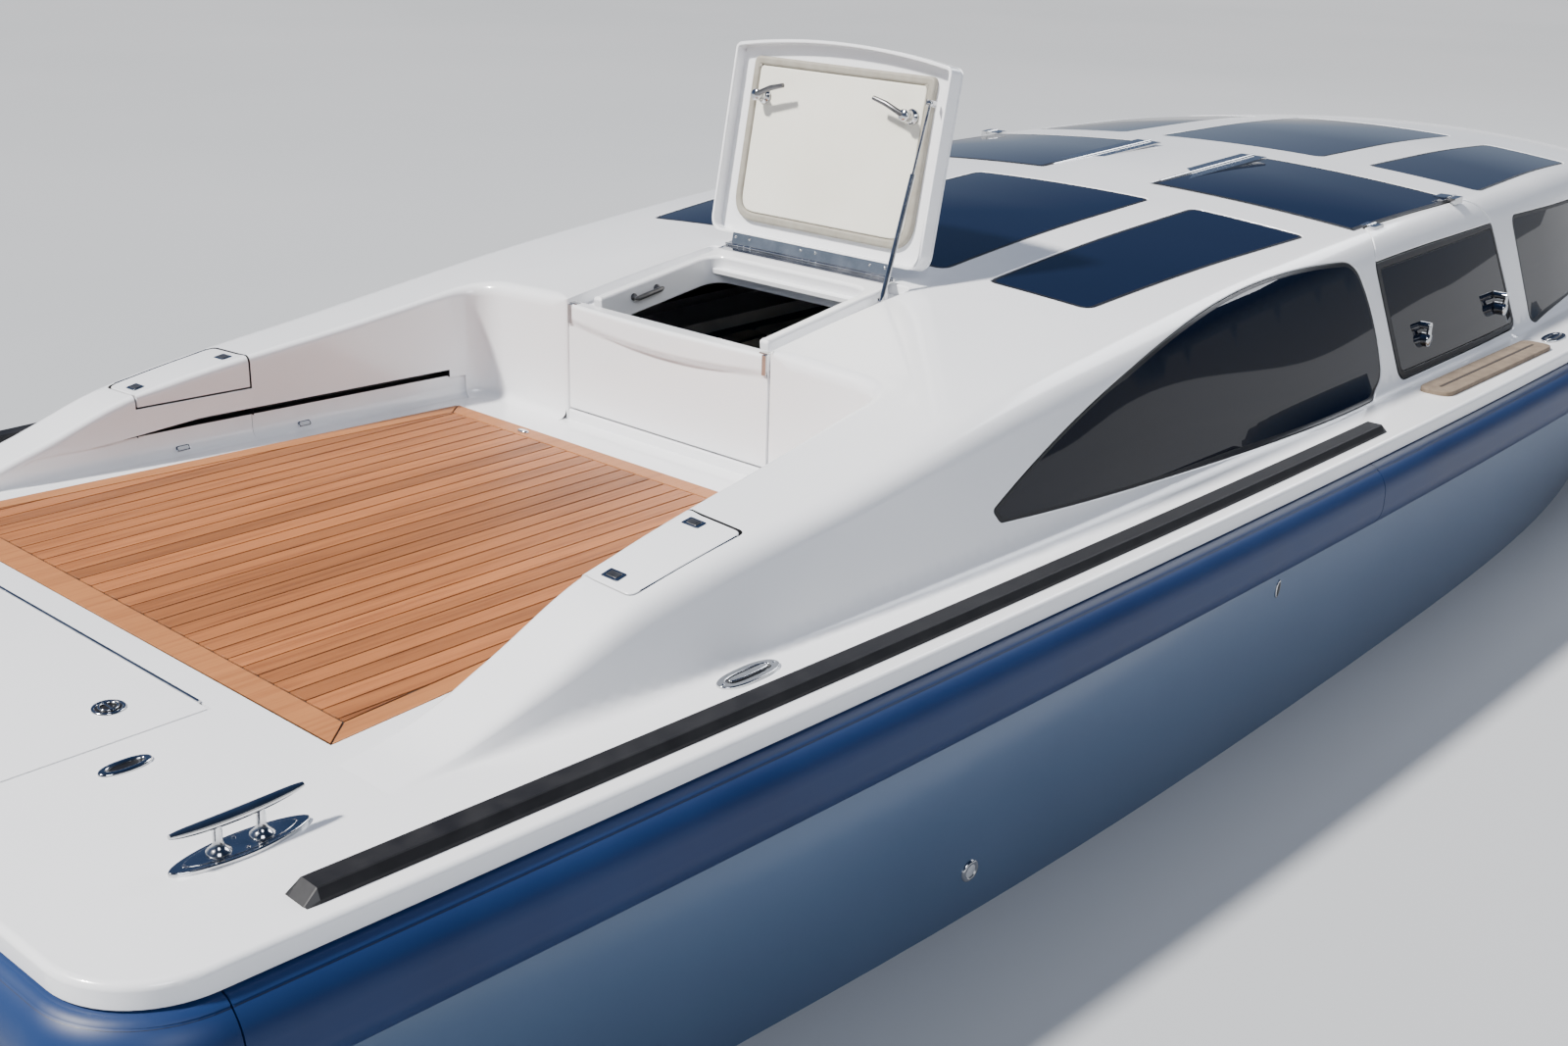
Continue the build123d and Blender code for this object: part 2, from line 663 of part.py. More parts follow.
def cross_disc(x, z, radius, right, left, mode=Mode.ADD):
    """Disc across the boat at a station and height."""
    with BuildSketch(Plane.XZ.offset(-left), mode=Mode.PRIVATE) as disc:
        with Locations((station(x), z)):
            Circle(radius)
    extrude(disc.sketch, amount=left - right, mode=mode)


with BuildPart() as companionway_door:
    door_half = ENTRY_HALF - MOVING_GAP
    box_between(
        BULKHEAD + 1, BULKHEAD + 1 + DOOR_THICKNESS, -door_half, door_half, ENTRY_SILL + MOVING_GAP, DOOR_TOP
    )
    fillet(companionway_door.edges().filter_by(Axis.Y).group_by(Axis.Z)[-1].sort_by(Axis.X)[0], 8)
    for name, sign in SIDES:
        right, left = sorted((sign * (door_half - DOOR_PIN_DEPTH), sign * door_half))
        cross_disc(*DOOR_PIN, DOOR_PIN_RADIUS + PIN_PLAY, right, left, Mode.SUBTRACT)
finish(companionway_door, "companionway_door")


def lid_plane(angle):
    """Plane of the lid's underside: x runs from hinge to lip, at an angle above forward, y to starboard."""
    return Plane(
        origin=(station(LID_HINGE), 0, LID_HIGH_Z),
        x_dir=(cos(radians(angle)), 0, sin(radians(angle))),
        z_dir=(sin(radians(angle)), 0, -cos(radians(angle))),
    )


def slab(plane, near, far, right, left, low, high, mode=Mode.ADD):
    """Box on a plane, between two distances from the hinge, two breadths and two heights."""
    with BuildSketch(plane.offset(low), mode=Mode.PRIVATE) as face:
        with Locations(((near + far) / 2, -(right + left) / 2)):
            Rectangle(far - near, left - right)
    extrude(face.sketch, amount=high - low, mode=mode)


CLOSED_ANGLE = 180 + lid_slope
OPEN_ANGLE = CLOSED_ANGLE - LID_OPEN
closed_lid = lid_plane(CLOSED_ANGLE)
open_lid = lid_plane(OPEN_ANGLE)
RIM_FOOT = -RIM_BELOW_LID - RIM_HEIGHT
RIM_NEAR = 3.0
RIM_FAR = LID_HINGE - BULKHEAD - DOOR_THICKNESS - 12
with BuildPart() as hatch_rim:
    gutter_half = ENTRY_HALF - GLASS_GAP
    slab(closed_lid, RIM_NEAR, RIM_FAR, -gutter_half, gutter_half, RIM_FOOT - GUTTER_PLATE, RIM_FOOT)
    slab(closed_lid, RIM_NEAR, RIM_FAR, -RIM_OUTER, RIM_OUTER, RIM_FOOT, -RIM_BELOW_LID)
    with BuildSketch(closed_lid.offset(-200)):
        with Locations((LID_HINGE - sum(RIM_OPENING) / 2, 0)):
            RectangleRounded(RIM_OPENING[1] - RIM_OPENING[0], 2 * RIM_INNER, 45)
    extrude(amount=400, mode=Mode.SUBTRACT)
finish(hatch_rim, "hatch_rim")

# Lid stay: a gas cylinder from the gutter to a post under the lid's starboard edge
STAY_Y = -332.0
HINGE_PLAY = 0.5
STAY_BASE = (2730.0, DECK_Z + 372)
STAY_PIN = (451.0, -14.0)
STAY_RADIUS = 7.0
STAY_BORE = 4.2
ROD_RADIUS = 3.5
CYLINDER_LENGTH = 330.0
ROD_LENGTH = 300.0
EYE_RADIUS = 8.0
EYE_HALF = 4.5
EYE_HOLE = 3.5
PIN_RADIUS = 3.2
PLATE = 3.0


def pin_point(angle):
    """Station and height of the stay's pin with the lid at an angle."""
    reach, under = STAY_PIN
    x = LID_HINGE + reach * cos(radians(angle)) + under * sin(radians(angle))
    z = LID_HIGH_Z + reach * sin(radians(angle)) - under * cos(radians(angle))
    return x, z


def stay_line(angle):
    """Angle above forward and length of the stay with the lid at an angle."""
    x, z = pin_point(angle)
    run = x - STAY_BASE[0]
    rise = z - STAY_BASE[1]
    return degrees(atan2(rise, run)) % 360, sqrt(run**2 + rise**2)


stay_open, stay_open_length = stay_line(OPEN_ANGLE)
stay_closed, stay_closed_length = stay_line(CLOSED_ANGLE)
stay_axis = Plane(
    origin=(station(STAY_BASE[0]), STAY_Y, STAY_BASE[1]),
    x_dir=(0, 1, 0),
    z_dir=(cos(radians(stay_open)), 0, sin(radians(stay_open))),
)


with BuildPart() as stay_cylinder:
    with BuildSketch(stay_axis):
        Circle(STAY_RADIUS)
    extrude(amount=CYLINDER_LENGTH)
    with BuildSketch(stay_axis.offset(EYE_RADIUS + 10)):
        Circle(STAY_BORE)
    extrude(amount=CYLINDER_LENGTH, mode=Mode.SUBTRACT)
    cross_disc(*STAY_BASE, EYE_RADIUS, STAY_Y - EYE_HALF, STAY_Y + EYE_HALF)
    cross_disc(*STAY_BASE, EYE_HOLE, STAY_Y - 20, STAY_Y + 20, Mode.SUBTRACT)
finish(stay_cylinder, "stay_cylinder")
with BuildPart() as stay_rod:
    with BuildSketch(stay_axis.offset(stay_open_length - ROD_LENGTH)):
        Circle(ROD_RADIUS)
    extrude(amount=ROD_LENGTH)
    cross_disc(*pin_point(OPEN_ANGLE), EYE_RADIUS, STAY_Y - EYE_HALF, STAY_Y + EYE_HALF)
    cross_disc(*pin_point(OPEN_ANGLE), EYE_HOLE, STAY_Y - 20, STAY_Y + 20, Mode.SUBTRACT)
finish(stay_rod, "stay_rod")

with BuildPart() as entry_hinges:
    for name, sign in SIDES:
        right, left = sorted((sign * (door_half - DOOR_PIN_DEPTH + 1), sign * ENTRY_HALF))
        cross_disc(*DOOR_PIN, DOOR_PIN_RADIUS, right, left)
    cross_disc(LID_HINGE, LID_HIGH_Z, HINGE_PIN, -LID_HINGE_HALF, LID_HINGE_HALF)
    slab(closed_lid, 0, RIM_LEAF, -LID_HINGE_HALF, LID_HINGE_HALF, -RIM_BELOW_LID, -LEAF_THICKNESS)
    bracket_left = STAY_Y + STAY_RADIUS + HINGE_PLAY
    cross_disc(*STAY_BASE, PIN_RADIUS, STAY_Y - EYE_HALF, bracket_left + PLATE)
    bracket_u = LID_HINGE - STAY_BASE[0]
    slab(closed_lid, bracket_u - 9, bracket_u + 9, bracket_left, bracket_left + PLATE, RIM_FOOT, -18)
finish(entry_hinges, "entry_hinges")

with BuildPart() as hatch_lid:
    with BuildSketch(open_lid.offset(SEAT_GAP)) as lid_face:
        with BuildLine():
            Polyline(
                (LID_LENGTH, LID_HALF), (LID_START, LID_HALF), (LID_START, -LID_HALF), (LID_LENGTH, -LID_HALF)
            )
            ThreePointArc((LID_LENGTH, -LID_HALF), (LID_LENGTH + LID_LIP, 0), (LID_LENGTH, LID_HALF))
        make_face()
        fillet(lid_face.vertices().group_by(Axis.X)[0], LID_HINGE_CORNER)
        fillet(lid_face.vertices().group_by(Axis.X)[-1], LID_LIP_CORNER)
    extrude(amount=LID_THICKNESS)
finish(hatch_lid, "hatch_lid")

# Lever latches and hinge leaves on the lid, and the post that the stay's rod meets
LATCH_REACH = 412.0
LATCH_Y = (-256, 256)
with BuildPart() as lid_fittings:
    for leaf_y in LID_LEAVES:
        half = LEAF_WIDTH / 2
        leaf_low = SEAT_GAP - LEAF_THICKNESS
        slab(open_lid, HINGE_PIN + SEAT_GAP, LID_START + 40, leaf_y - half, leaf_y + half, leaf_low, 0)
    for latch_y in LATCH_Y:
        with BuildSketch(open_lid.offset(-22)):
            with Locations((LATCH_REACH, latch_y)):
                Circle(16)
        extrude(amount=22)
        toward = -1 if latch_y > 0 else 1
        right, left = sorted((latch_y, latch_y + toward * 75))
        slab(open_lid, LATCH_REACH - 7, LATCH_REACH + 7, right, left, -22, -14)
    post_right = STAY_Y - EYE_HALF - HINGE_PLAY - PLATE
    slab(open_lid, STAY_PIN[0] - 8, STAY_PIN[0] + 8, post_right, post_right + PLATE, STAY_PIN[1] - 8, 0)
finish(lid_fittings, "lid_fittings")

# Hinges: the spine hinges on the shell, and the fittings of each flap and side door
SPINE_LEAF = 45.0
lifted_skin = outer_skin.moved(Location((0, 0, SEAT_GAP)))


def along_rod(aft, fore, y, z, radius):
    """Rod along the boat between two stations."""
    with BuildSketch(Plane.YZ.offset(station(aft)), mode=Mode.PRIVATE) as disc:
        with Locations((y, z)):
            Circle(radius)
    extrude(disc.sketch, amount=fore - aft)


def hinge_rod(hinge, sign, aft, fore, radius):
    """Rod on a hinge line, between two stations."""
    line = hinge_plane(hinge, sign, aft)
    with BuildSketch(Plane(origin=line.origin, z_dir=line.x_dir), mode=Mode.PRIVATE) as disc:
        Circle(radius)
    extrude(disc.sketch, amount=fore - aft)


def hinge_block(hinge, sign, aft, fore, near, far, low, high):
    """Block beside a hinge line: near and far are outboard of it, low and high above it."""
    line = hinge_plane(hinge, sign, (aft + fore) / 2)
    with Locations(line.location * Location((0, sign * (near + far) / 2, (low + high) / 2))):
        Box(fore - aft, far - near, high - low)


CLEAR = HINGE_RADIUS + HINGE_PLAY
SPINE_AFT = FLAP_AFT + 60
SPINE_FORE = FLAP_FORE - 60
UNDER_SKIN = -60.0
DOOR_LEAVES = (40.0, 22.0)
WEB_HALF = 2.0
with BuildPart() as spine_hinges:
    for name, sign in SIDES:
        hinge_rod(FLAP_HINGE, sign, SPINE_AFT, SPINE_FORE, HINGE_RADIUS)
        hinge_block(FLAP_HINGE, sign, SPINE_AFT, SPINE_FORE, -SPINE_LEAF, 3 - HINGE_RADIUS, UNDER_SKIN, 0)
    add(lifted_skin, mode=Mode.SUBTRACT)
finish(spine_hinges, "spine_hinges")

for name, sign in SIDES:
    with BuildPart() as flap_fittings:
        hinge_block(FLAP_HINGE, sign, SPINE_AFT, SPINE_FORE, CLEAR, CLEAR + SPINE_LEAF, UNDER_SKIN, 0)
        for hinge_at in DOOR_HINGES:
            aft, fore = hinge_at - DOOR_HINGE_LENGTH / 2, hinge_at + DOOR_HINGE_LENGTH / 2
            hinge_block(DOOR_HINGE, sign, aft, fore, -CLEAR - DOOR_LEAVES[0], -CLEAR, UNDER_SKIN, WEB_HALF)
            hinge_block(DOOR_HINGE, sign, aft, hinge_at - HINGE_PLAY, -CLEAR, 0, -WEB_HALF, WEB_HALF)
            hinge_rod(DOOR_HINGE, sign, aft, hinge_at - HINGE_PLAY, HINGE_RADIUS)
        add(lifted_skin, mode=Mode.SUBTRACT)
    finish(flap_fittings, "flap_fittings_" + name)
    with BuildPart() as door_fittings:
        for hinge_at in DOOR_HINGES:
            aft, fore = hinge_at - DOOR_HINGE_LENGTH / 2, hinge_at + DOOR_HINGE_LENGTH / 2
            hinge_block(DOOR_HINGE, sign, aft, fore, CLEAR, CLEAR + DOOR_LEAVES[1], UNDER_SKIN, WEB_HALF)
            hinge_block(DOOR_HINGE, sign, hinge_at, fore, 0, CLEAR, -WEB_HALF, WEB_HALF)
            hinge_rod(DOOR_HINGE, sign, hinge_at, fore, HINGE_RADIUS)
        for knob_at, knob_z in KNOBS:
            right, left = sorted((sign * 1000, sign * 1062))
            for height, radius in ((knob_z, 12), (knob_z - 42, 21)):
                cross_disc(knob_at, DECK_Z + height, radius, right, left)
        add(lifted_skin.moved(Location((0, sign * SEAT_GAP, 0))), mode=Mode.SUBTRACT)
    finish(door_fittings, "door_fittings_" + name)

# Piano hinges of the platform hatch and the locker lids, each in its seam
SEAM_ROD = 3.2
SEAM_ROD_UP = 2.2
LOCKER_ROD = 2.4
LOCKER_ROD_UP = 1.0
with BuildPart() as deck_hinges:
    cross_disc(HATCH_FORE + MOVING_GAP / 2, DECK_Z + SEAM_ROD_UP, SEAM_ROD, -HATCH_HALF + 30, HATCH_HALF - 30)
    for name, sign in SIDES:
        rod_start = ridge.origin + ridge.x_dir * 20 + ridge.z_dir * LOCKER_ROD_UP
        rod_start = rod_start + Vector(0, sign * (LOCKER_OUTER + MOVING_GAP / 2), 0)
        with BuildSketch(Plane(origin=rod_start, z_dir=ridge.x_dir)):
            Circle(LOCKER_ROD)
        extrude(amount=RIDGE_LENGTH - 40)
    add(deck.part.moved(Location((0, 0, SEAT_GAP))), mode=Mode.SUBTRACT)
    add(lifted_skin, mode=Mode.SUBTRACT)
finish(deck_hinges, "deck_hinges")

# Deck hardware
RUB_AFT = 412.0
RUB_FORE = 3830.0
RUB_OUTER = 38.0
RUB_INNER = 98.0
RUB_HEIGHT = 24.0
with BuildPart() as rub_strips:
    with BuildSketch(Plane.XY.offset(DECK_Z)):
        add(plan_outline(RUB_OUTER))
        add(plan_outline(RUB_INNER), mode=Mode.SUBTRACT)
    extrude(amount=RUB_HEIGHT)
    box_between(RUB_AFT, RUB_FORE, -2000, 2000, 0, HIGH, Mode.INTERSECT)
    fillet(rub_strips.edges().group_by(Axis.Z)[-1], 9)
finish(rub_strips, "rub_strips")

STEP_PAD = (4290, 5118, 1124, 1224, 14)
with BuildPart() as step_pads:
    pad_aft, pad_fore, pad_inner, pad_outer, pad_height = STEP_PAD
    for name, sign in SIDES:
        with BuildSketch(Plane.XY.offset(DECK_Z)):
            with Locations((station((pad_aft + pad_fore) / 2), sign * (pad_inner + pad_outer) / 2)):
                RectangleRounded(pad_fore - pad_aft, pad_outer - pad_inner, 40)
        extrude(amount=pad_height)
    fillet(step_pads.edges().group_by(Axis.Z)[-1], 4)
finish(step_pads, "step_pads")

CLEATS = ((446, 955, 10),)
CLEAT_BASE = (250, 78, 10)
CLEAT_BAR_Z = 62.0
CLEAT_BAR = (230, 9)
CLEAT_POSTS = 75.0
with BuildPart() as stern_cleats:
    for cleat_at, cleat_y, cleat_yaw in CLEATS:
        for name, sign in SIDES:
            with BuildSketch(Plane.XY.offset(DECK_Z)):
                with Locations((station(cleat_at), sign * cleat_y)):
                    Ellipse(CLEAT_BASE[0] / 2, CLEAT_BASE[1] / 2)
            extrude(amount=CLEAT_BASE[2])
            for shift in (-CLEAT_POSTS / 2, CLEAT_POSTS / 2):
                with BuildSketch(Plane.XY.offset(DECK_Z)):
                    with Locations((station(cleat_at) + shift, sign * cleat_y)):
                        Circle(7)
                extrude(amount=CLEAT_BAR_Z)
            bar_half = CLEAT_BAR[0] / 2
            aft, fore = cleat_at - bar_half, cleat_at + bar_half
            along_rod(aft, fore, sign * cleat_y, DECK_Z + CLEAT_BAR_Z, CLEAT_BAR[1])
finish(stern_cleats, "stern_cleats")

# Flush oval cleats along the deck edge: distance from the stern and half-breadth
POPUP_CLEATS = ((1442, 1080), (5263, 1170), (8150, 430))
POPUP_SIZE = (165, 62, 12)
with BuildPart() as popup_cleats:
    for cleat_at, cleat_y in POPUP_CLEATS:
        for name, sign in SIDES:
            with BuildSketch(Plane.XY.offset(DECK_Z)):
                with Locations((station(cleat_at), sign * cleat_y)):
                    Ellipse(POPUP_SIZE[0] / 2, POPUP_SIZE[1] / 2)
            extrude(amount=POPUP_SIZE[2])
finish(popup_cleats, "popup_cleats")

# Oval open fittings in the platform corners
FAIRLEAD = (455, 600, 100, 44, 26)
with BuildPart() as deck_fairleads:
    lead_at, lead_y, lead_length, lead_width, lead_hole = FAIRLEAD
    for name, sign in SIDES:
        with BuildSketch(Plane.XY.offset(DECK_Z)):
            with Locations((station(lead_at), sign * lead_y)):
                Ellipse(lead_length / 2, lead_width / 2)
                Ellipse(lead_length / 2 - 12, lead_hole / 2, mode=Mode.SUBTRACT)
        extrude(amount=6)
finish(deck_fairleads, "deck_fairleads")

# Ring pull: distance from the stern, breadth, radius and height
RING_PULL = (545, -383, 38, 5)
with BuildPart() as hatch_ring:
    ring_at, ring_y, ring_radius, ring_height = RING_PULL
    with BuildSketch(Plane.XY.offset(DECK_Z)):
        with Locations((station(ring_at), ring_y)):
            Circle(ring_radius)
    extrude(amount=ring_height)
finish(hatch_ring, "hatch_ring")

# Bow eye on the stem: a real hole for a shackle
BOW_EYE_Z = 470.0
BOW_EYE_AT = 9225.0
BOW_EYE_HOLE = 14.0
BOW_EYE_OUTER = 32.0
BOW_EYE_THICKNESS = 24.0
with BuildPart() as bow_eye:
    eye_half = BOW_EYE_THICKNESS / 2
    cross_disc(BOW_EYE_AT, BOW_EYE_Z, BOW_EYE_OUTER, -eye_half, eye_half)
    box_between(BOW_EYE_AT - 120, BOW_EYE_AT, -eye_half, eye_half, BOW_EYE_Z - 22, BOW_EYE_Z + 22)
    cross_disc(BOW_EYE_AT, BOW_EYE_Z, BOW_EYE_HOLE, -50, 50, Mode.SUBTRACT)
    add(hull.part, mode=Mode.SUBTRACT)
finish(bow_eye, "bow_eye")

# Cabin furniture, seen through the glass and the open hatch
SOLE_THICKNESS = 12.0
with BuildPart() as cabin_sole:
    with BuildSketch(Plane.XY.offset(SOLE_Z)):
        Polygon(*mirrored(WELL_CORNERS), align=None)
        offset(amount=-GLASS_GAP)
    extrude(amount=SOLE_THICKNESS)
finish(cabin_sole, "cabin_sole")
SEAT_BOTTOM = SOLE_Z + SOLE_THICKNESS
BENCH = (2900, 4150, 400, 855)
BENCH_BASE_HEIGHT = 300.0
CUSHION_HEIGHT = 110.0
BACK_THICKNESS = 110.0
BACK_HEIGHT = 420.0
with BuildPart() as bench_bases:
    bench_aft, bench_fore, bench_inner, bench_outer = BENCH
    for name, sign in SIDES:
        right, left = sorted((sign * bench_inner, sign * bench_outer))
        box_between(bench_aft, bench_fore, right, left, SEAT_BOTTOM, SEAT_BOTTOM + BENCH_BASE_HEIGHT)
finish(bench_bases, "bench_bases")
with BuildPart() as bench_cushions:
    seat_z = SEAT_BOTTOM + BENCH_BASE_HEIGHT + SEAT_GAP
    for name, sign in SIDES:
        right, left = sorted((sign * bench_inner, sign * bench_outer))
        box_between(bench_aft, bench_fore, right, left, seat_z, seat_z + CUSHION_HEIGHT)
        back_low = seat_z + CUSHION_HEIGHT + SEAT_GAP
        right, left = sorted((sign * (bench_outer - BACK_THICKNESS), sign * bench_outer))
        box_between(bench_aft, bench_fore, right, left, back_low, back_low + BACK_HEIGHT)
finish(bench_cushions, "bench_cushions")
HELM_Y = -250.0
HELM_SEAT = (5560, 6020, 230)
HELM_PEDESTAL = (90, 110, 330)
HELM_CUSHION = 120.0
HELM_BACK = (110, 560)
with BuildPart() as helm_seat_base:
    seat_aft, seat_fore, seat_half = HELM_SEAT
    shorter, half, height = HELM_PEDESTAL
    right, left = HELM_Y - half, HELM_Y + half
    box_between(seat_aft + shorter, seat_fore - shorter, right, left, SEAT_BOTTOM, SEAT_BOTTOM + height)
finish(helm_seat_base, "helm_seat_base")
with BuildPart() as helm_seat:
    cushion_z = SEAT_BOTTOM + HELM_PEDESTAL[2] + SEAT_GAP
    right, left = HELM_Y - seat_half, HELM_Y + seat_half
    box_between(seat_aft, seat_fore, right, left, cushion_z, cushion_z + HELM_CUSHION)
    box_between(seat_aft, seat_aft + HELM_BACK[0], right, left, cushion_z, cushion_z + HELM_BACK[1])
finish(helm_seat, "helm_seat")
CONSOLE = (6420, 6760, 430)
CONSOLE_TOP = 640.0
CONSOLE_FACE = 200.0
WHEEL_TILT = 25.0
with BuildPart() as helm_console:
    box_between(CONSOLE[0], CONSOLE[1], -CONSOLE[2], CONSOLE[2], SEAT_BOTTOM, CONSOLE_TOP)
    with BuildSketch(Plane.XZ):
        face_fore = CONSOLE[0] + CONSOLE_FACE * tan(radians(WHEEL_TILT))
        Polygon(
            (station(CONSOLE[0]), CONSOLE_TOP - CONSOLE_FACE),
            (station(face_fore), CONSOLE_TOP),
            (station(CONSOLE[0]), CONSOLE_TOP),
            align=None,
        )
    extrude(amount=2 * CONSOLE[2], both=True, mode=Mode.SUBTRACT)
finish(helm_console, "helm_console")
WHEEL_AT = (6330.0, 610.0)
WHEEL_RADIUS = 165.0
WHEEL_RIM = 13.0
wheel_plane = Plane(
    origin=(station(WHEEL_AT[0]), HELM_Y, WHEEL_AT[1]),
    x_dir=(0, 1, 0),
    z_dir=(-cos(radians(WHEEL_TILT)), 0, sin(radians(WHEEL_TILT))),
)
SHAFT_RADIUS = 16.0
SPOKE_BACK = 12.0
to_face = (CONSOLE[0] - WHEEL_AT[0]) * cos(radians(WHEEL_TILT))
to_face -= (CONSOLE_TOP - CONSOLE_FACE - WHEEL_AT[1]) * sin(radians(WHEEL_TILT))
with BuildPart() as steering_wheel:
    rim_frame = Plane(origin=wheel_plane.origin, x_dir=wheel_plane.x_dir, z_dir=wheel_plane.y_dir)
    with BuildSketch(rim_frame):
        with Locations((WHEEL_RADIUS, 0)):
            Circle(WHEEL_RIM)
    revolve(axis=Axis(wheel_plane.origin, wheel_plane.z_dir))
    with BuildSketch(wheel_plane.offset(-SPOKE_BACK)):
        Circle(38)
        for turn in (90, 210, 330):
            with Locations(Location((0, 0), turn)):
                with Locations((WHEEL_RADIUS / 2, 0)):
                    Rectangle(WHEEL_RADIUS, 26)
    extrude(amount=14)
    with BuildSketch(wheel_plane.offset(-SPOKE_BACK)):
        Circle(SHAFT_RADIUS)
    extrude(amount=SPOKE_BACK + SEAT_GAP - to_face)
finish(steering_wheel, "steering_wheel")

# Stern drives under the platform: transom mounts, steering legs and propellers
DRIVE_Y = 420.0
KINGPIN = 500.0
EAR_RADIUS = 36.0
EARS = ((20, 45), (-200, -175))
KINGPIN_RADIUS = 14.0
KINGPIN_HOLE = 14.4
LEG_FRONT = 455.0
LEG_BACK = 300.0
LEG_HALF = 38.0
LEG_TOP = 15.0
LEG_BOTTOM = -700.0
PROP_Z = -560.0
TORPEDO = (240, 490, 52)
PLATE_Z = -340.0
with BuildPart() as drive_mounts:
    for name, sign in SIDES:
        y = sign * DRIVE_Y
        box_between(575, DRIVE_WELL_FORE, y - 120, y + 120, -280, 80)
        for low, high in EARS:
            with BuildSketch(Plane.XY.offset(low)):
                with Locations((station(KINGPIN), y)):
                    Circle(EAR_RADIUS)
                with Locations((station((KINGPIN + 580) / 2), y)):
                    Rectangle(580 - KINGPIN, 2 * EAR_RADIUS)
                with Locations((station(KINGPIN), y)):
                    Circle(KINGPIN_HOLE, mode=Mode.SUBTRACT)
            extrude(amount=high - low)
finish(drive_mounts, "drive_mounts")
PROP_HUB = (120, TORPEDO[0] - HINGE_PLAY, 48)
PROP_RADIUS = 185.0
BLADES = 4
BLADE_PITCH = 35.0
for name, sign in SIDES:
    y = sign * DRIVE_Y
    with BuildPart() as drive_leg:
        with BuildSketch(Plane.XY.offset(LEG_BOTTOM)):
            with Locations((station((LEG_FRONT + LEG_BACK) / 2), y)):
                SlotOverall(LEG_FRONT - LEG_BACK, 2 * LEG_HALF)
        extrude(amount=LEG_TOP - LEG_BOTTOM)
        along_rod(TORPEDO[0], TORPEDO[1], y, PROP_Z, TORPEDO[2])
        box_between(200, 460, y - 110, y + 110, PLATE_Z, PLATE_Z + 12)
        pivot_low = EARS[1][1] + MOVING_GAP
        box_between(LEG_FRONT - 60, KINGPIN + 10, y - 30, y + 30, pivot_low, LEG_TOP)
        with BuildSketch(Plane.XY.offset(EARS[1][0])):
            with Locations((station(KINGPIN), y)):
                Circle(KINGPIN_RADIUS)
        extrude(amount=EARS[0][1] - EARS[1][0])
    finish(drive_leg, "drive_leg_" + name)
    with BuildPart() as propeller:
        along_rod(PROP_HUB[0], PROP_HUB[1], y, PROP_Z, PROP_HUB[2])
        for blade in range(BLADES):
            turn = 360 / BLADES * blade + 45
            blade_plane = Plane(
                origin=(station(sum(PROP_HUB[:2]) / 2), y, PROP_Z),
                x_dir=(0, cos(radians(turn)), sin(radians(turn))),
                z_dir=(
                    cos(radians(BLADE_PITCH)),
                    -sin(radians(BLADE_PITCH)) * sin(radians(turn)),
                    sin(radians(BLADE_PITCH)) * cos(radians(turn)),
                ),
            )
            with BuildSketch(blade_plane.offset(-4)):
                with Locations((PROP_RADIUS / 2 + 10, 0)):
                    Ellipse(PROP_RADIUS / 2 - 10, 62)
            extrude(amount=8)
    finish(propeller, "propeller_" + name)
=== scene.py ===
"""Looks of the enclosed-cabin power boat, in metres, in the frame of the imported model.

X runs forward, Y to port, Z up from the waterline. Stations are distances forward of the stern end.
"""
import json
import math

import bpy
import numpy as np
from mathutils import Matrix, Vector
from mathutils.geometry import delaunay_2d_cdt


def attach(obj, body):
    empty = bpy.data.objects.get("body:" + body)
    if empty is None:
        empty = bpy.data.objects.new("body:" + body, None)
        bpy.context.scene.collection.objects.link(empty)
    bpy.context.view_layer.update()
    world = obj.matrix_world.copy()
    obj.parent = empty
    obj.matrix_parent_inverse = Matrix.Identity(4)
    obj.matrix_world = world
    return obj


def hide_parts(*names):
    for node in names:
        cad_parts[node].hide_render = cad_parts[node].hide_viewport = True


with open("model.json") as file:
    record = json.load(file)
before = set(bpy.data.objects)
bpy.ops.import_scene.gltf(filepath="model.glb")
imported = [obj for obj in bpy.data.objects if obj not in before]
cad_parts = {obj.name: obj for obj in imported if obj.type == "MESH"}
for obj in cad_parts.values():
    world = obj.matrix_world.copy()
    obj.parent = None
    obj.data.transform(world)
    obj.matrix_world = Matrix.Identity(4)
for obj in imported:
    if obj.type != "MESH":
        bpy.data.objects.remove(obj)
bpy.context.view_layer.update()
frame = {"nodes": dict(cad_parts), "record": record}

HALF_LENGTH = 4.7
DECK = 0.760
UP, AFTWARD = np.array((0.0, 0.0, 1.0)), np.array((-1.0, 0.0, 0.0))
MIRROR = np.array((1.0, -1.0, 1.0))
SIDES = (("starboard", -1), ("port", 1))


def at(from_stern):
    """X of a station, from its distance forward of the stern end."""
    return from_stern - HALF_LENGTH


# Superstructure table. Columns: distance from the stern, heights above the deck and half-breadths:
# crown height, roof edge height, roof edge half, shoulder height, shoulder half, base half
SECTIONS = np.array((
    (0.700, 0.001, 0.0008, 0.950, 0.0004, 0.975, 0.985),
    (0.790, 0.010, 0.008, 0.948, 0.005, 0.976, 0.988),
    (1.023, 0.088, 0.073, 0.943, 0.052, 0.981, 1.004),
    (1.280, 0.182, 0.160, 0.935, 0.115, 0.985, 1.024),
    (1.900, 0.275, 0.247, 0.925, 0.195, 1.000, 1.050),
    (2.700, 0.390, 0.352, 0.912, 0.278, 1.000, 1.072),
    (3.700, 0.475, 0.430, 0.905, 0.340, 0.985, 1.078),
    (4.700, 0.508, 0.458, 0.895, 0.370, 0.970, 1.070),
    (5.600, 0.505, 0.455, 0.850, 0.370, 0.930, 1.035),
    (6.400, 0.475, 0.425, 0.760, 0.345, 0.850, 0.960),
    (6.900, 0.430, 0.380, 0.680, 0.300, 0.770, 0.890),
    (7.800, 0.090, 0.075, 0.380, 0.050, 0.460, 0.560),
    (8.050, 0.014, 0.010, 0.280, 0.006, 0.300, 0.310),
    (8.120, 0.001, 0.0008, 0.240, 0.0004, 0.250, 0.260),
))
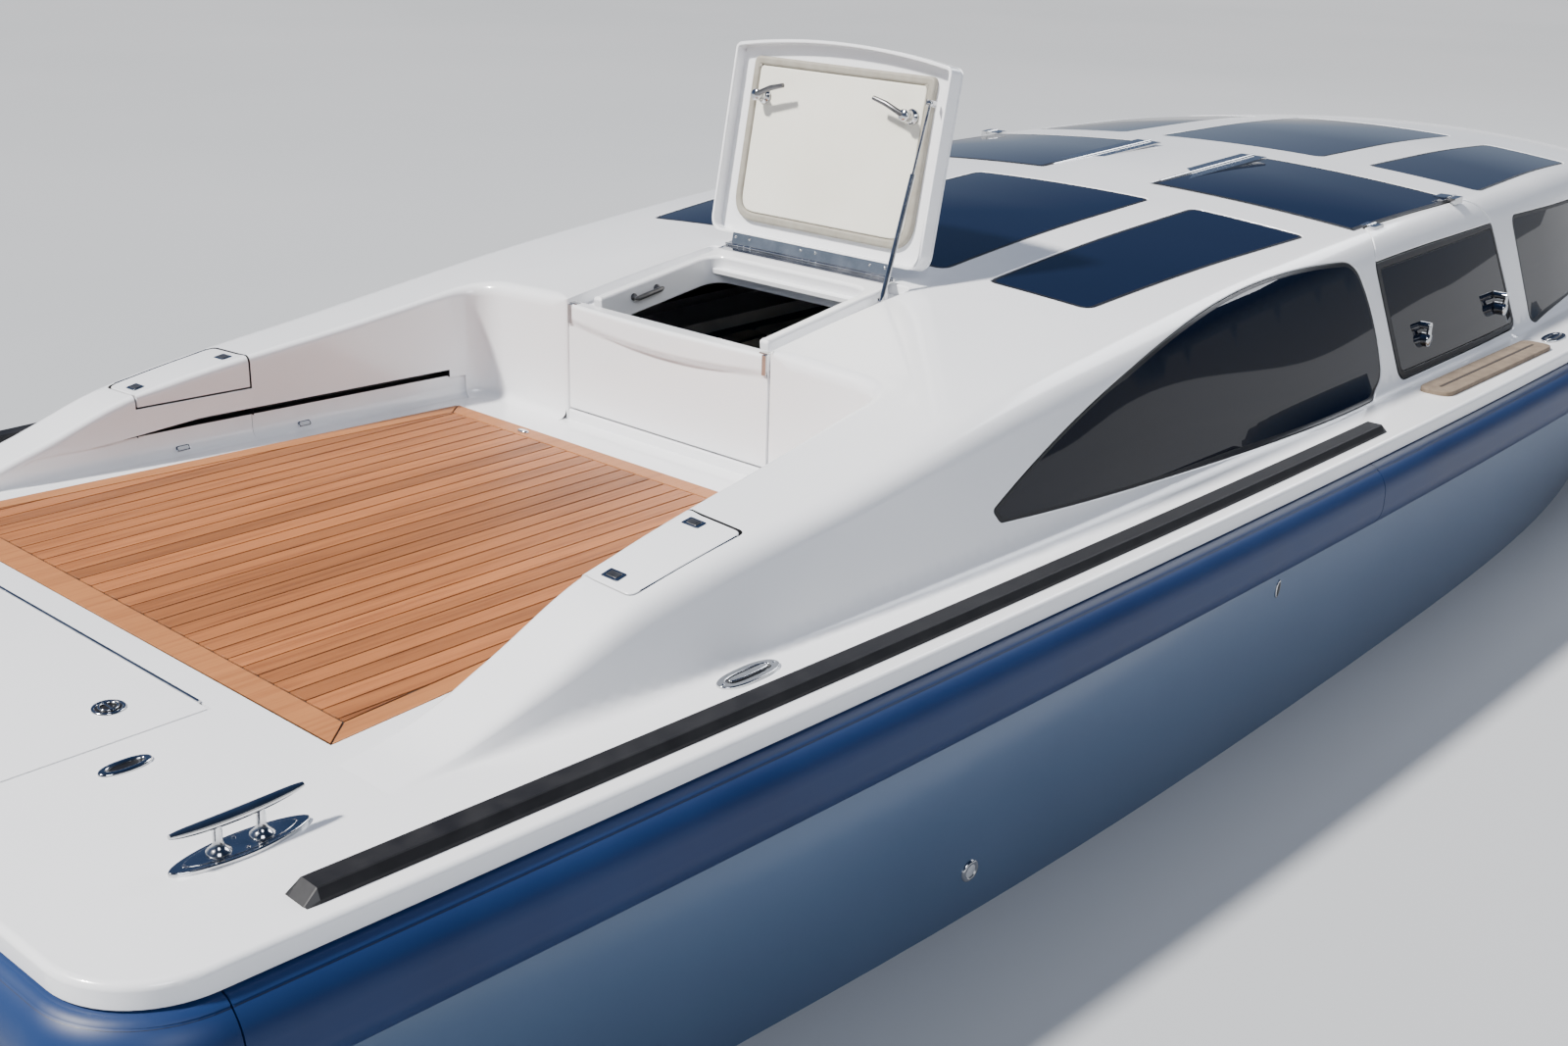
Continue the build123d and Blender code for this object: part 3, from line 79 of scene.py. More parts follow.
AFT_END, FORE_END = SECTIONS[0, 0], SECTIONS[-1, 0]
# Widths of the bands of the skin's own coordinate: crown, shoulder, side and the cove at its foot
CROWN, SHOULDER, SIDE, COVE = 0.90, 0.12, 0.36, 0.04
BANDS = np.cumsum((CROWN, SHOULDER, SIDE, COVE))
COVE_RADIUS, COVE_SHARE = 0.028, 0.45
HALVINGS, MITRE_LIMIT = 44, 0.3


def curve_slopes(x, y):
    """Slopes of a curve through a table that keeps each stretch monotone."""
    h = np.diff(x)[:, None]
    d = np.diff(y, axis=0) / h
    m = np.zeros_like(y)
    m[0], m[-1] = d[0], d[-1]
    w1 = 2 * h[1:] + h[:-1]
    w2 = h[1:] + 2 * h[:-1]
    same = d[:-1] * d[1:] > 0
    safe = np.where(same, d[:-1], 1.0), np.where(same, d[1:], 1.0)
    m[1:-1] = np.where(same, (w1 + w2) / (w1 / safe[0] + w2 / safe[1]), 0.0)
    return m


SECTION_SLOPES = curve_slopes(SECTIONS[:, 0], SECTIONS[:, 1:])


def section(station):
    """The six columns of the superstructure table, at any stations."""
    xs, ys, ms = SECTIONS[:, 0], SECTIONS[:, 1:], SECTION_SLOPES
    s = np.clip(station, xs[0], xs[-1])
    k = np.clip(np.searchsorted(xs, s, side="right") - 1, 0, len(xs) - 2)
    h = (xs[k + 1] - xs[k])[:, None]
    t = ((s - xs[k])[:, None]) / h
    a, b = ys[k], ys[k + 1]
    return (
        (1 + 2 * t) * (1 - t) ** 2 * a
        + t * (1 - t) ** 2 * h * ms[k]
        + t * t * (3 - 2 * t) * b
        + t * t * (t - 1) * h * ms[k + 1]
    ).T


def quadratic(t, a, b, c):
    """Places along quadratic curves from a to c, with their corners at b."""
    return (1 - t) ** 2 * a + 2 * t * (1 - t) * b + t * t * c


def skin_point(station, v):
    """Points of the outer skin at stations and at places v across it, from the centreline outwards."""
    station = np.asarray(station, float)
    v = np.asarray(v, float)
    a = np.abs(v)
    crown, edge_z, edge, shoulder_z, shoulder, base = section(station)
    slope = -2 * (crown - edge_z) / edge
    t = np.clip(a / CROWN, 0, 1)
    y = edge * t
    z = crown - (crown - edge_z) * t * t
    w = (edge_z + slope * (base - edge)) / np.maximum(shoulder_z - slope * (shoulder - base), 1e-6)
    corner_y = base + w * (shoulder - base)
    corner_z = w * shoulder_z
    t = np.clip((a - BANDS[0]) / SHOULDER, 0, 1)
    on = a > BANDS[0]
    y = np.where(on, quadratic(t, edge, corner_y, shoulder), y)
    z = np.where(on, quadratic(t, edge_z, corner_z, shoulder_z), z)
    cove = np.minimum(COVE_RADIUS, COVE_SHARE * shoulder_z)
    t = np.clip((a - BANDS[1]) / SIDE, 0, 1)
    height = shoulder_z + (cove - shoulder_z) * t
    on = a > BANDS[1]
    lean = (shoulder - base) / np.maximum(shoulder_z, 1e-6)
    y = np.where(on, base + lean * height, y)
    z = np.where(on, height, z)
    t = np.clip((a - BANDS[2]) / COVE, 0, 1)
    on = a > BANDS[2]
    top_y = base + lean * cove
    y = np.where(on, quadratic(t, top_y, base, base + cove), y)
    z = np.where(on, (1 - t) ** 2 * cove, z)
    return np.stack([station - HALF_LENGTH, np.where(v < 0, -y, y), DECK + z], axis=-1)


def unit(vectors):
    """Vectors scaled to length one."""
    return vectors / np.maximum(np.linalg.norm(vectors, axis=-1, keepdims=True), 1e-12)


def skin_frame(station, v):
    """Points of the skin with its outward normal and the directions along and across it."""
    eps = 1e-4
    station = np.asarray(station, float)
    v = np.asarray(v, float)
    p = skin_point(station, v)
    fore = np.minimum(station + eps, FORE_END)
    aft = np.maximum(station - eps, AFT_END)
    along = unit(skin_point(fore, v) - skin_point(aft, v))
    across = unit(skin_point(station, v + eps) - skin_point(station, v - eps))
    return p, unit(np.cross(along, across)), along, across


def place_by(station, value, axis, low, high):
    """Places v across the skin where its breadth (axis 1) or height (axis 2) has a value; v is positive."""
    station = np.asarray(station, float)
    low, high = np.full(station.shape, low), np.full(station.shape, high)
    for _ in range(HALVINGS):
        middle = (low + high) / 2
        beyond = (skin_point(station, middle)[..., axis] > value) == (axis == 1)
        low, high = np.where(beyond, low, middle), np.where(beyond, middle, high)
    return (low + high) / 2


def roof_place(station, y):
    """Skin coordinates of points given by station and breadth, on the roof or its shoulder."""
    y = np.asarray(y, float)
    v = place_by(station, np.abs(y), 1, 0.0, BANDS[1])
    return np.stack([station, np.where(y < 0, -v, v)], axis=-1)


def side_place(station, z, sign):
    """Skin coordinates of points given by station and height above the deck, on one side."""
    v = place_by(station, np.asarray(z) + DECK, 2, CROWN * 0.8, BANDS[3])
    return np.stack([station, sign * v], axis=-1)


def arc_points(a, mid, b, count):
    """Points of the arc from a to b through mid, without b."""
    a, mid, b = (np.asarray(p, float) for p in (a, mid, b))
    d = 2 * (a[0] * (mid[1] - b[1]) + mid[0] * (b[1] - a[1]) + b[0] * (a[1] - mid[1]))
    t = np.linspace(0, 1, count, endpoint=False)[:, None]
    if abs(d) < 1e-9:
        return a + (b - a) * t
    sq = [p @ p for p in (a, mid, b)]
    cx = (sq[0] * (mid[1] - b[1]) + sq[1] * (b[1] - a[1]) + sq[2] * (a[1] - mid[1])) / d
    cy = (sq[0] * (b[0] - mid[0]) + sq[1] * (a[0] - b[0]) + sq[2] * (mid[0] - a[0])) / d
    centre = np.array((cx, cy))
    angles = [math.atan2(*(p - centre)[::-1]) for p in (a, mid, b)]
    turn = 2 * math.pi
    sweep = (angles[2] - angles[0]) % turn
    if (angles[1] - angles[0]) % turn > sweep:
        sweep -= turn
    theta = angles[0] + sweep * t[:, 0]
    radius = np.linalg.norm(a - centre)
    return centre + radius * np.stack([np.cos(theta), np.sin(theta)], axis=-1)


def rounded_loop(corners, radii, mids=None, step=0.03, corner_steps=7):
    """Closed outline: sides are straight or arcs through a mid point, and corners are rounded."""
    count = len(corners)
    mids = mids or {}
    radii = [radii] * count if np.isscalar(radii) else list(radii)
    sides = []
    for i in range(count):
        a = np.asarray(corners[i], float)
        b = np.asarray(corners[(i + 1) % count], float)
        mid = mids.get(i, (a + b) / 2)
        dense = np.vstack([arc_points(a, mid, b, 400), b])
        run = np.concatenate([[0], np.cumsum(np.linalg.norm(np.diff(dense, axis=0), axis=1))])
        first = radii[i]
        last = run[-1] - radii[(i + 1) % count]
        pieces = max(1, int(math.ceil((last - first) / step)))
        where = np.linspace(first, last, pieces + 1)
        sides.append(np.stack([np.interp(where, run, dense[:, k]) for k in (0, 1)], axis=-1))
    out = []
    for i in range(count):
        before = sides[i - 1][-1]
        after = sides[i][0]
        tip = np.asarray(corners[i], float)
        if radii[i] > 0:
            t = np.linspace(0, 1, corner_steps + 1)[1:-1, None]
            out.append(quadratic(t, before, tip, after))
        out.append(sides[i])
    loop = np.vstack(out)
    keep = np.linalg.norm(loop - np.roll(loop, 1, axis=0), axis=1) > 1e-6
    return anticlockwise(loop[keep])


def anticlockwise(loop):
    """A plane outline, turned round where it runs clockwise."""
    area = np.sum(loop[:, 0] * np.roll(loop[:, 1], -1) - loop[:, 1] * np.roll(loop[:, 0], -1))
    return loop if area > 0 else loop[::-1]


def loop_normals(loop):
    """Directions into an anticlockwise loop, in its own plane, long enough to keep a width round corners."""
    side = unit(np.roll(loop, -1, axis=0) - loop)
    after = np.stack([-side[:, 1], side[:, 0]], axis=-1)
    before = np.roll(after, 1, axis=0)
    share = 1 + np.einsum("ij,ij->i", before, after)
    return (before + after) / np.maximum(share, MITRE_LIMIT)[:, None]


def inside(points, loops):
    """Whether points are in the region that an odd number of loops surround."""
    result = np.zeros(len(points), bool)
    x, y = points[:, 0], points[:, 1]
    for loop in loops:
        a, b = loop, np.roll(loop, -1, axis=0)
        for (x0, y0), (x1, y1) in zip(a, b):
            if y0 == y1:
                continue
            crosses = (y0 > y) != (y1 > y)
            result ^= crosses & (x < (x1 - x0) * (y - y0) / (y1 - y0) + x0)
    return result


def far_from(points, loops, distance):
    """Whether points are further than a distance from every side of the loops."""
    keep = np.ones(len(points), bool)
    for loop in loops:
        a, b = loop, np.roll(loop, -1, axis=0)
        for p, q in zip(a, b):
            low = np.minimum(p, q) - distance
            high = np.maximum(p, q) + distance
            near = np.all((points > low) & (points < high), axis=1) & keep
            if not near.any():
                continue
            d = q - p
            t = np.clip(((points[near] - p) @ d) / max(d @ d, 1e-12), 0, 1)
            gap = np.linalg.norm(points[near] - (p + t[:, None] * d), axis=1)
            index = np.flatnonzero(near)
            keep[index[gap < distance]] = False
    return keep


def triangulate(loops, grid, margin):
    """Triangles of a region with holes. Returns its points and triangles, anticlockwise."""
    grid = grid[inside(grid, loops)]
    grid = grid[far_from(grid, loops, margin)]
    points = np.vstack(list(loops) + [grid])
    edges = []
    start = 0
    for loop in loops:
        n = len(loop)
        edges += [(start + i, start + (i + 1) % n) for i in range(n)]
        start += n
    out = delaunay_2d_cdt([Vector(p) for p in points], edges, [], 0, 1e-7)
    found = np.array([tuple(p) for p in out[0]])
    faces = np.array([f for f in out[2] if len(f) == 3])
    centres = found[faces].mean(axis=1)
    faces = faces[inside(centres, loops)]
    a, b, c = (found[faces[:, k]] for k in range(3))
    turn = (b[:, 0] - a[:, 0]) * (c[:, 1] - a[:, 1]) - (b[:, 1] - a[:, 1]) * (c[:, 0] - a[:, 0])
    faces = faces[np.abs(turn) > 1e-12]
    turn = turn[np.abs(turn) > 1e-12]
    faces[turn < 0] = faces[turn < 0][:, ::-1]
    return found, faces


class Patches:
    """Faces gathered from several surfaces, each with its own normals, and welded into one mesh."""

    def __init__(self):
        self.points, self.normals, self.faces, self.looks = [], [], [], []
        self.count = 0

    def add(self, points, normals, faces, look=0):
        """Faces of one surface, as index rows into its points. Each is turned to agree with its normals."""
        points = np.asarray(points, float)
        normals = np.asarray(normals, float)
        faces = np.array(faces)
        if not len(faces):
            return
        corners = points[faces]
        across = np.cross(corners[:, 2] - corners[:, 0], corners[:, -1] - corners[:, 1])
        wrong = np.einsum("ij,ij->i", across, normals[faces].mean(axis=1)) < 0
        faces[wrong] = faces[wrong][:, ::-1]
        self.points.append(points)
        self.normals.append(normals)
        for face in faces:
            self.faces.append(tuple(int(i) + self.count for i in face))
            self.looks.append(look)
        self.count += len(points)

    def grid(self, points, normals, look=0, closed=False):
        """Quads between rows of points. Rows and columns are the first two axes."""
        rows, columns = points.shape[:2]
        index = np.arange(rows * columns).reshape(rows, columns)
        if closed:
            index = np.vstack([index, index[:1]])
        a, b, c, d = index[:-1, :-1], index[:-1, 1:], index[1:, 1:], index[1:, :-1]
        quads = np.stack([a, b, c, d], axis=-1).reshape(-1, 4)
        self.add(points.reshape(-1, 3), normals.reshape(-1, 3), quads, look)

    def rows(self, pairs, look=0, closed=False):
        """Quads between rows that are given as pairs of points and normals."""
        self.grid(*(np.stack([pair[k] for pair in pairs], axis=1) for k in (0, 1)), look, closed)

    def flat(self, rows, normal, look=0):
        """Quads between rows of points, all facing one way."""
        points = np.stack(rows, axis=1)
        self.grid(points, np.broadcast_to(normal, points.shape), look)

    def fan(self, rim, normal, look=0):
        """Triangles from a rim to its middle, all facing one way."""
        n = len(rim)
        points = np.vstack([rim, rim.mean(axis=0)])
        self.add(points, np.tile(normal, (n + 1, 1)), [(i, (i + 1) % n, n) for i in range(n)], look)

    def make(self, name, materials, body, slot, *nodes):
        """The piece: one welded mesh, with its normals and body, and the nodes that it stands for, which it
        hides. Its slot is not used.
        """
        points = np.vstack(self.points)
        normals = unit(np.vstack(self.normals))
        keys = np.round(points, 6)
        _, first, inverse = np.unique(keys, axis=0, return_index=True, return_inverse=True)
        inverse = inverse.reshape(-1)
        faces, looks, corner_normals = [], [], []
        for face, look in zip(self.faces, self.looks):
            kept = [k for i, k in enumerate(face) if inverse[k] != inverse[face[i - 1]]]
            if len({inverse[k] for k in kept}) != len(kept) or len(kept) < 3:
                continue
            faces.append([int(inverse[k]) for k in kept])
            corner_normals.extend(normals[k] for k in kept)
            looks.append(look)
        mesh = bpy.data.meshes.new(name)
        mesh.from_pydata([tuple(points[i]) for i in first], [], faces)
        mesh.polygons.foreach_set("material_index", np.array(looks, np.int32))
        mesh.polygons.foreach_set("use_smooth", np.ones(len(faces), bool))
        mesh.update()
        mesh.normals_split_custom_set([tuple(n) for n in corner_normals])
        piece = bpy.data.objects.new(name, mesh)
        bpy.context.scene.collection.objects.link(piece)
        for material in materials:
            mesh.materials.append(material)
        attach(piece, body)
        if nodes:
            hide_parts(*nodes)
        return piece


def skin_grid(low, high, step):
    """Staggered points of the skin's own coordinates, aligned with its bands."""
    columns = np.arange(low[0], high[0] + step, step)
    places = set()
    edges = [0.0, *BANDS]
    spacing = (1.4 * step, SHOULDER / 8, step, COVE / 4)
    for a, b, gap in zip(edges[:-1], edges[1:], spacing):
        pieces = max(1, int(round((b - a) / gap)))
        places.update(np.round(np.linspace(a, b, pieces + 1), 6))
    places = np.array(sorted(places | {-p for p in places}))
    places = places[(places >= low[1]) & (places <= high[1])]
    xs, vs = np.meshgrid(columns, places, indexing="ij")
    xs = xs + np.where(np.arange(len(places)) % 2 == 0, 0, step / 2)[None, :]
    return np.stack([xs.ravel(), vs.ravel()], axis=-1)


EDGE_TURNS = (30, 60, 90)


def rounded_edge(loop, into, edge, thickness, free=1.0):
    """Face outline of a panel, and the rows over its rounded edge and down to its back.

    into points inwards from the loop, and free is 0 where the face keeps to the loop."""
    p, n, along, across = skin_frame(*loop.T)
    inward = unit(into[:, :1] * along + into[:, 1:] * across)
    face = loop + into * edge * free
    rows = [skin_frame(*face.T)[:2]]
    for turn in EDGE_TURNS:
        s, c = math.sin(math.radians(turn)), math.cos(math.radians(turn))
        rows.append((p + inward * edge * (1 - s) - n * edge * (1 - c), n * c - inward * s))
    rows.append((p - n * thickness, -inward))
    return face, rows


def skin_face(patches, loops, grid, margin, depth=0.0, way=1, look=0):
    """The skin within loops, at a depth below it. It faces inwards where way is -1."""
    places, faces = triangulate(loops, grid, margin)
    p, n, _, _ = skin_frame(*places.T)
    patches.add(p - n * depth, n * way, faces, look)


def skin_panel(patches, outer, holes, thickness, edge, look=0, step=0.05):
    """A panel of the skin with rounded edges."""
    loops = [outer, *holes]
    into = [loop_normals(outer)] + [-loop_normals(hole) for hole in holes]
    faces_at = []
    for loop, normal in zip(loops, into):
        face, rows = rounded_edge(loop, normal, edge, thickness)
        faces_at.append(face)
        patches.rows(rows, look, closed=True)
    low, high = np.min(outer, axis=0), np.max(outer, axis=0)
    skin_face(patches, faces_at, skin_grid(low, high, step), 0.175 * step, look=look)
    skin_face(patches, loops, skin_grid(low, high, 1.5 * step), 0.3 * step, thickness, -1, look)


def bezier(a, b, c, count):
    """Points of quadratic curves from rows a to rows c, with their corners at rows b."""
    return quadratic(np.linspace(0, 1, count + 1)[None, :, None], a[:, None], b[:, None], c[:, None])


def plane_at(origin, u=(1, 0, 0), v=(0, 1, 0), n=(0, 0, 1)):
    """A local frame: its origin and its three directions."""
    return np.array(origin, float), unit(np.array((u, v, n), float))


def spread(plane, points):
    """World points of points in a local frame."""
    origin, axes = plane
    return origin + np.asarray(points, float) @ axes


def on_deck(station, y, rise=0.0, *axes):
    """A local frame over a place on the deck."""
    return plane_at((at(station), y, DECK + rise), *axes)


def side_points(plan, sign, z):
    """Points of a port plan line moved to a side, at heights."""
    return np.column_stack([(plan - (HALF_LENGTH, 0)) * (1, sign), np.broadcast_to(z, len(plan))])


def raised(loop, height):
    """A plane outline at a height."""
    return np.column_stack([loop, np.full(len(loop), float(height))])


def extruded(patches, plane, outline, low, high, top=0.002, bottom=0.0, holes=(), look=0, steps=3,
             caps=(True, True)):
    """Solid over an outline between the heights low and high, with its rims rounded by top and bottom.

    caps says whether it has its lower and its upper face."""
    axes = plane[1]
    top_loops, bottom_loops = [], []
    for i, loop in enumerate((outline, *holes)):
        loop = np.asarray(loop, float)
        into = loop_normals(loop) * (1 if i == 0 else -1)
        out = -unit(into)
        rows = []
        for k in range(steps + 1 if bottom else 1):
            a = math.pi / 2 * (k / steps if bottom else 1)
            inset, height = bottom * (1 - math.sin(a)), low + bottom * (1 - math.cos(a))
            rows.append((loop + into * inset, height, out * math.sin(a), -math.cos(a)))
        for k in range(steps + 1 if top else 1):
            a = math.pi / 2 * (k / steps if top else 0)
            inset, height = top * (1 - math.cos(a)), high - top * (1 - math.sin(a))
            rows.append((loop + into * inset, height, out * math.cos(a), math.sin(a)))
        points = np.stack([spread(plane, raised(place, height)) for place, height, _, _ in rows], axis=1)
        normals = np.stack([raised(flat, rise) @ axes for _, _, flat, rise in rows], axis=1)
        patches.grid(points, normals, look, closed=True)
        bottom_loops.append(rows[0][0])
        top_loops.append(rows[-1][0])
    for wanted, loops, height, way in ((caps[1], top_loops, high, 1), (caps[0], bottom_loops, low, -1)):
        if not wanted:
            continue
        points, faces = triangulate(loops, np.zeros((0, 2)), 0.0)
        normals = np.tile(axes[2] * way, (len(points), 1))
        patches.add(spread(plane, raised(points, height)), normals, faces, look)


def tube(patches, points, radius, look=0, sides=12, ends=True):
    """Round bar along a line of points."""
    points = np.asarray(points, float)
    radius = np.broadcast_to(radius, (len(points),))
    along = unit(np.gradient(points, axis=0))
    start = np.array((0.0, 0.0, 1.0)) if abs(along[0, 2]) < 0.9 else np.array((0.0, 1.0, 0.0))
    u = unit(start - along[0] * (start @ along[0]))
    rows = []
    for p, t, r in zip(points, along, radius):
        u = unit(u - t * (u @ t))
        v = np.cross(t, u)
        a = np.linspace(0, 2 * math.pi, sides, endpoint=False)[:, None]
        rows.append((p + r * (u * np.cos(a) + v * np.sin(a)), u * np.cos(a) + v * np.sin(a)))
    patches.rows(rows, look, closed=True)
    if ends:
        for k, way in ((0, -1), (-1, 1)):
            patches.fan(rows[k][0], along[k] * way, look)


def turned(patches, plane, profile, look=0, sides=28):
    """Round form about the plane's normal, from a profile of radius and height."""
    profile = np.asarray(profile, float)
    a = np.linspace(0, 2 * math.pi, sides, endpoint=False)
    spin = np.stack([np.cos(a), np.sin(a)], axis=-1)
    side = np.diff(profile, axis=0)
    out = unit(np.stack([side[:, 1], -side[:, 0]], axis=-1))
    facing_out = unit(np.vstack([out[:1], out[:-1] + out[1:], out[-1:]]))
    patches.rows([(spread(plane, raised(spin * r, h)), raised(spin * x, y) @ plane[1])
                  for (r, h), (x, y) in zip(profile, facing_out)], look, closed=True)


def oval(length, width, count=40, power=2.0):
    """Outline of an ellipse, or of a squarer one with a higher power."""
    a = np.linspace(0, 2 * math.pi, count, endpoint=False)
    c, s = np.cos(a), np.sin(a)
    return np.stack([length / 2 * np.sign(c) * np.abs(c) ** (2 / power),
                     width / 2 * np.sign(s) * np.abs(s) ** (2 / power)], axis=-1)


def rectangle(aft, fore, right, left, radius=0.0, step=0.05, corner_steps=5):
    """Outline of a rectangle with rounded corners."""
    corners = ((aft, right), (fore, right), (fore, left), (aft, left))
    return rounded_loop(corners, radius, step=step, corner_steps=corner_steps)


def tapered(aft, fore, aft_half, fore_half):
    """Corners of a symmetric outline between two stations."""
    return np.array(((aft, -aft_half), (fore, -fore_half), (fore, fore_half), (aft, aft_half)))


def plate(length, width, radius):
    """Outline of a rounded rectangle about its middle."""
    return rectangle(-length / 2, length / 2, -width / 2, width / 2, radius)


class Tree:
    """The nodes of a material or of the world, and its surface shader."""

    def __init__(self, owner, surface="Principled BSDF"):
        owner.use_nodes = True
        self.nodes, self.links = owner.node_tree.nodes, owner.node_tree.links
        self.surface = self.nodes[surface]

    def feed(self, node, inputs):
        """Inputs of a node, each joined to a socket or set to a value."""
        for key, value in inputs.items():
            if isinstance(value, bpy.types.NodeSocket):
                self.links.new(value, node.inputs[key])
            else:
                node.inputs[key].default_value = value

    def add(self, kind, inputs, operation=None):
        """A node of a kind, with its inputs."""
        node = self.nodes.new("ShaderNode" + kind)
        if operation:
            node.operation = operation
        self.feed(node, inputs)
        return node

    def place(self, source):
        """Texture coordinates of a kind."""
        return self.add("TexCoord", {}).outputs[source]

    def axis(self, source, name):
        """One axis of texture coordinates."""
        return self.add("SeparateXYZ", {"Vector": self.place(source)}).outputs[name]

    def noise(self, scale, detail=4.0, stretch=(1, 1, 1)):
        """A noise in object space, at a scale per metre."""
        mapped = self.add("Mapping", {"Vector": self.place("Object"), "Scale": stretch}).outputs["Vector"]
        return self.add("TexNoise", {"Vector": mapped, "Scale": scale, "Detail": detail}).outputs["Fac"]

    def ramp(self, source, stops):
        """Colours between stops, by a socket."""
        node = self.add("ValToRGB", {"Fac": source})
        while len(node.color_ramp.elements) < len(stops):
            node.color_ramp.elements.new(0.5)
        for element, (place, colour) in zip(node.color_ramp.elements, stops):
            element.position = place
            element.color = (*colour, 1)
        return node.outputs["Color"]

    def ranged(self, source, low, high, start=0.0, end=1.0):
        """A socket's span from start to end, carried over to low to high."""
        return self.add("MapRange", {"Value": source, "From Min": start, "From Max": end, "To Min": low,
                                     "To Max": high}).outputs["Result"]

    def scaled(self, colour, factor):
        """A colour times a factor."""
        return self.add("VectorMath", {0: colour, "Scale": factor}, "SCALE").outputs["Vector"]

    def bump(self, source, strength, distance):
        """A bump on the surface."""
        node = self.add("Bump", {"Height": source, "Strength": strength, "Distance": distance})
        self.feed(self.surface, {"Normal": node.outputs["Normal"]})


def varied(name, dark, light, roughness, scale, drift=0.08, metallic=0.0, coat=0.0, bump_strength=0.0,
           bump_distance=0.0005, bump_scale=None, sheen=0.0, specular=0.5):
    """A finish whose colour and roughness drift a little between two values."""
    material = bpy.data.materials.new(name)
    tree = Tree(material)
    shade = tree.noise(scale)
    tree.feed(tree.surface, {
        "Base Color": tree.ramp(shade, ((0.3, dark), (0.7, light))),
        "Roughness": tree.ranged(shade, max(0.0, roughness - drift), roughness + drift),
        "Metallic": metallic, "Coat Weight": coat, "Coat Roughness": 0.06, "Sheen Weight": sheen,
        "Specular IOR Level": specular,
    })
    if bump_strength:
        tree.bump(tree.noise(bump_scale, 3.0), bump_strength, bump_distance)
    return material


def glass_material(name, tint, clear, specular=0.5, coat=0.25):
    """Dark tinted glass: glossy, with some of the cabin showing through."""
    material = bpy.data.materials.new(name)
    tree = Tree(material)
    tree.feed(tree.surface, {
        "Base Color": tree.ramp(tree.noise(1.3, 2.0), ((0.3, tint), (0.7, tuple(c * 1.25 for c in tint)))),
        "Roughness": 0.015, "IOR": 1.52, "Transmission Weight": clear, "Specular IOR Level": specular,
        "Coat Weight": coat, "Coat Roughness": 0.02,
    })
    return material


GELCOAT = varied("gelcoat", (0.84, 0.85, 0.87), (0.88, 0.885, 0.90), 0.22, 1.7, 0.05, coat=0.5,
                 bump_strength=0.03, bump_distance=0.0006, bump_scale=26)
NAVY = varied("collar_finish", (0.006, 0.022, 0.085), (0.009, 0.031, 0.108), 0.42, 2.4, 0.05, specular=0.28,
              bump_strength=0.05, bump_distance=0.0006, bump_scale=60)
TOPSIDE = varied("topside_finish", (0.075, 0.130, 0.235), (0.090, 0.150, 0.260), 0.32, 1.2, 0.05,
                 metallic=0.30, coat=0.5, bump_strength=0.02, bump_distance=0.0008, bump_scale=9)
STAINLESS = varied("stainless_finish", (0.52, 0.53, 0.54), (0.68, 0.68, 0.69), 0.14, 22, 0.06, metallic=1.0,
                   bump_strength=0.02, bump_distance=0.0002, bump_scale=300)
RUBBER = varied("black_rubber_finish", (0.008, 0.008, 0.010), (0.018, 0.018, 0.020), 0.55, 18, 0.12,
                specular=0.22, bump_strength=0.25, bump_distance=0.0006, bump_scale=160)
# Near-black finish: the real black borders of the glass and doors and the collar's joint line, and also
# painted shade on faces inside slots, gaps, locker trays and the recesses of deck fittings
BLACK_TRIM_AND_SHADE = varied("black_trim_and_painted_shade_finish", (0.006, 0.006, 0.008), (0.012, 0.012, 0.014), 0.42, 30, 0.08)
TREAD = varied("tread_finish", (0.135, 0.098, 0.066), (0.20, 0.150, 0.105), 0.75, 34, 0.1,
               bump_strength=0.5, bump_distance=0.0012, bump_scale=420)
TRIM = varied("cabin_trim_finish", (0.30, 0.31, 0.33), (0.36, 0.37, 0.39), 0.6, 9, 0.1,
              bump_strength=0.1, bump_distance=0.0005, bump_scale=240)
LINING = varied("cabin_lining_finish", (0.42, 0.42, 0.43), (0.48, 0.48, 0.49), 0.8, 14, 0.1,
                bump_strength=0.2, bump_distance=0.0008, bump_scale=300)
CARPET = varied("carpet_finish", (0.012, 0.016, 0.070), (0.020, 0.026, 0.105), 0.95, 60, 0.04, sheen=0.4,
                bump_strength=0.6, bump_distance=0.002, bump_scale=700)
VINYL = varied("upholstery_finish", (0.52, 0.49, 0.43), (0.60, 0.57, 0.50), 0.48, 12, 0.08,
               bump_strength=0.25, bump_distance=0.0006, bump_scale=500)
GRIP = varied("wheel_grip_finish", (0.012, 0.012, 0.013), (0.03, 0.03, 0.03), 0.55, 60, 0.1,
              bump_strength=0.3, bump_distance=0.0006, bump_scale=700)
CASTING = varied("engine_finish", (0.05, 0.055, 0.06), (0.10, 0.11, 0.12), 0.6, 20, 0.12,
                 bump_strength=0.4, bump_distance=0.001, bump_scale=220)
DRIVE = varied("drive_finish", (0.012, 0.014, 0.016), (0.026, 0.028, 0.03), 0.35, 14, 0.1, coat=0.4,
               bump_strength=0.08, bump_distance=0.0005, bump_scale=220)
BRONZE = varied("bronze_finish", (0.46, 0.31, 0.13), (0.60, 0.43, 0.20), 0.24, 20, 0.1, metallic=1.0,
                bump_strength=0.05, bump_distance=0.0003, bump_scale=260)
GLASS = glass_material("tinted_glass_finish", (0.004, 0.007, 0.020), 0.10)
SIDE_GLASS = glass_material("side_glass_finish", (0.003, 0.005, 0.012), 0.10, specular=0.30, coat=0.06)


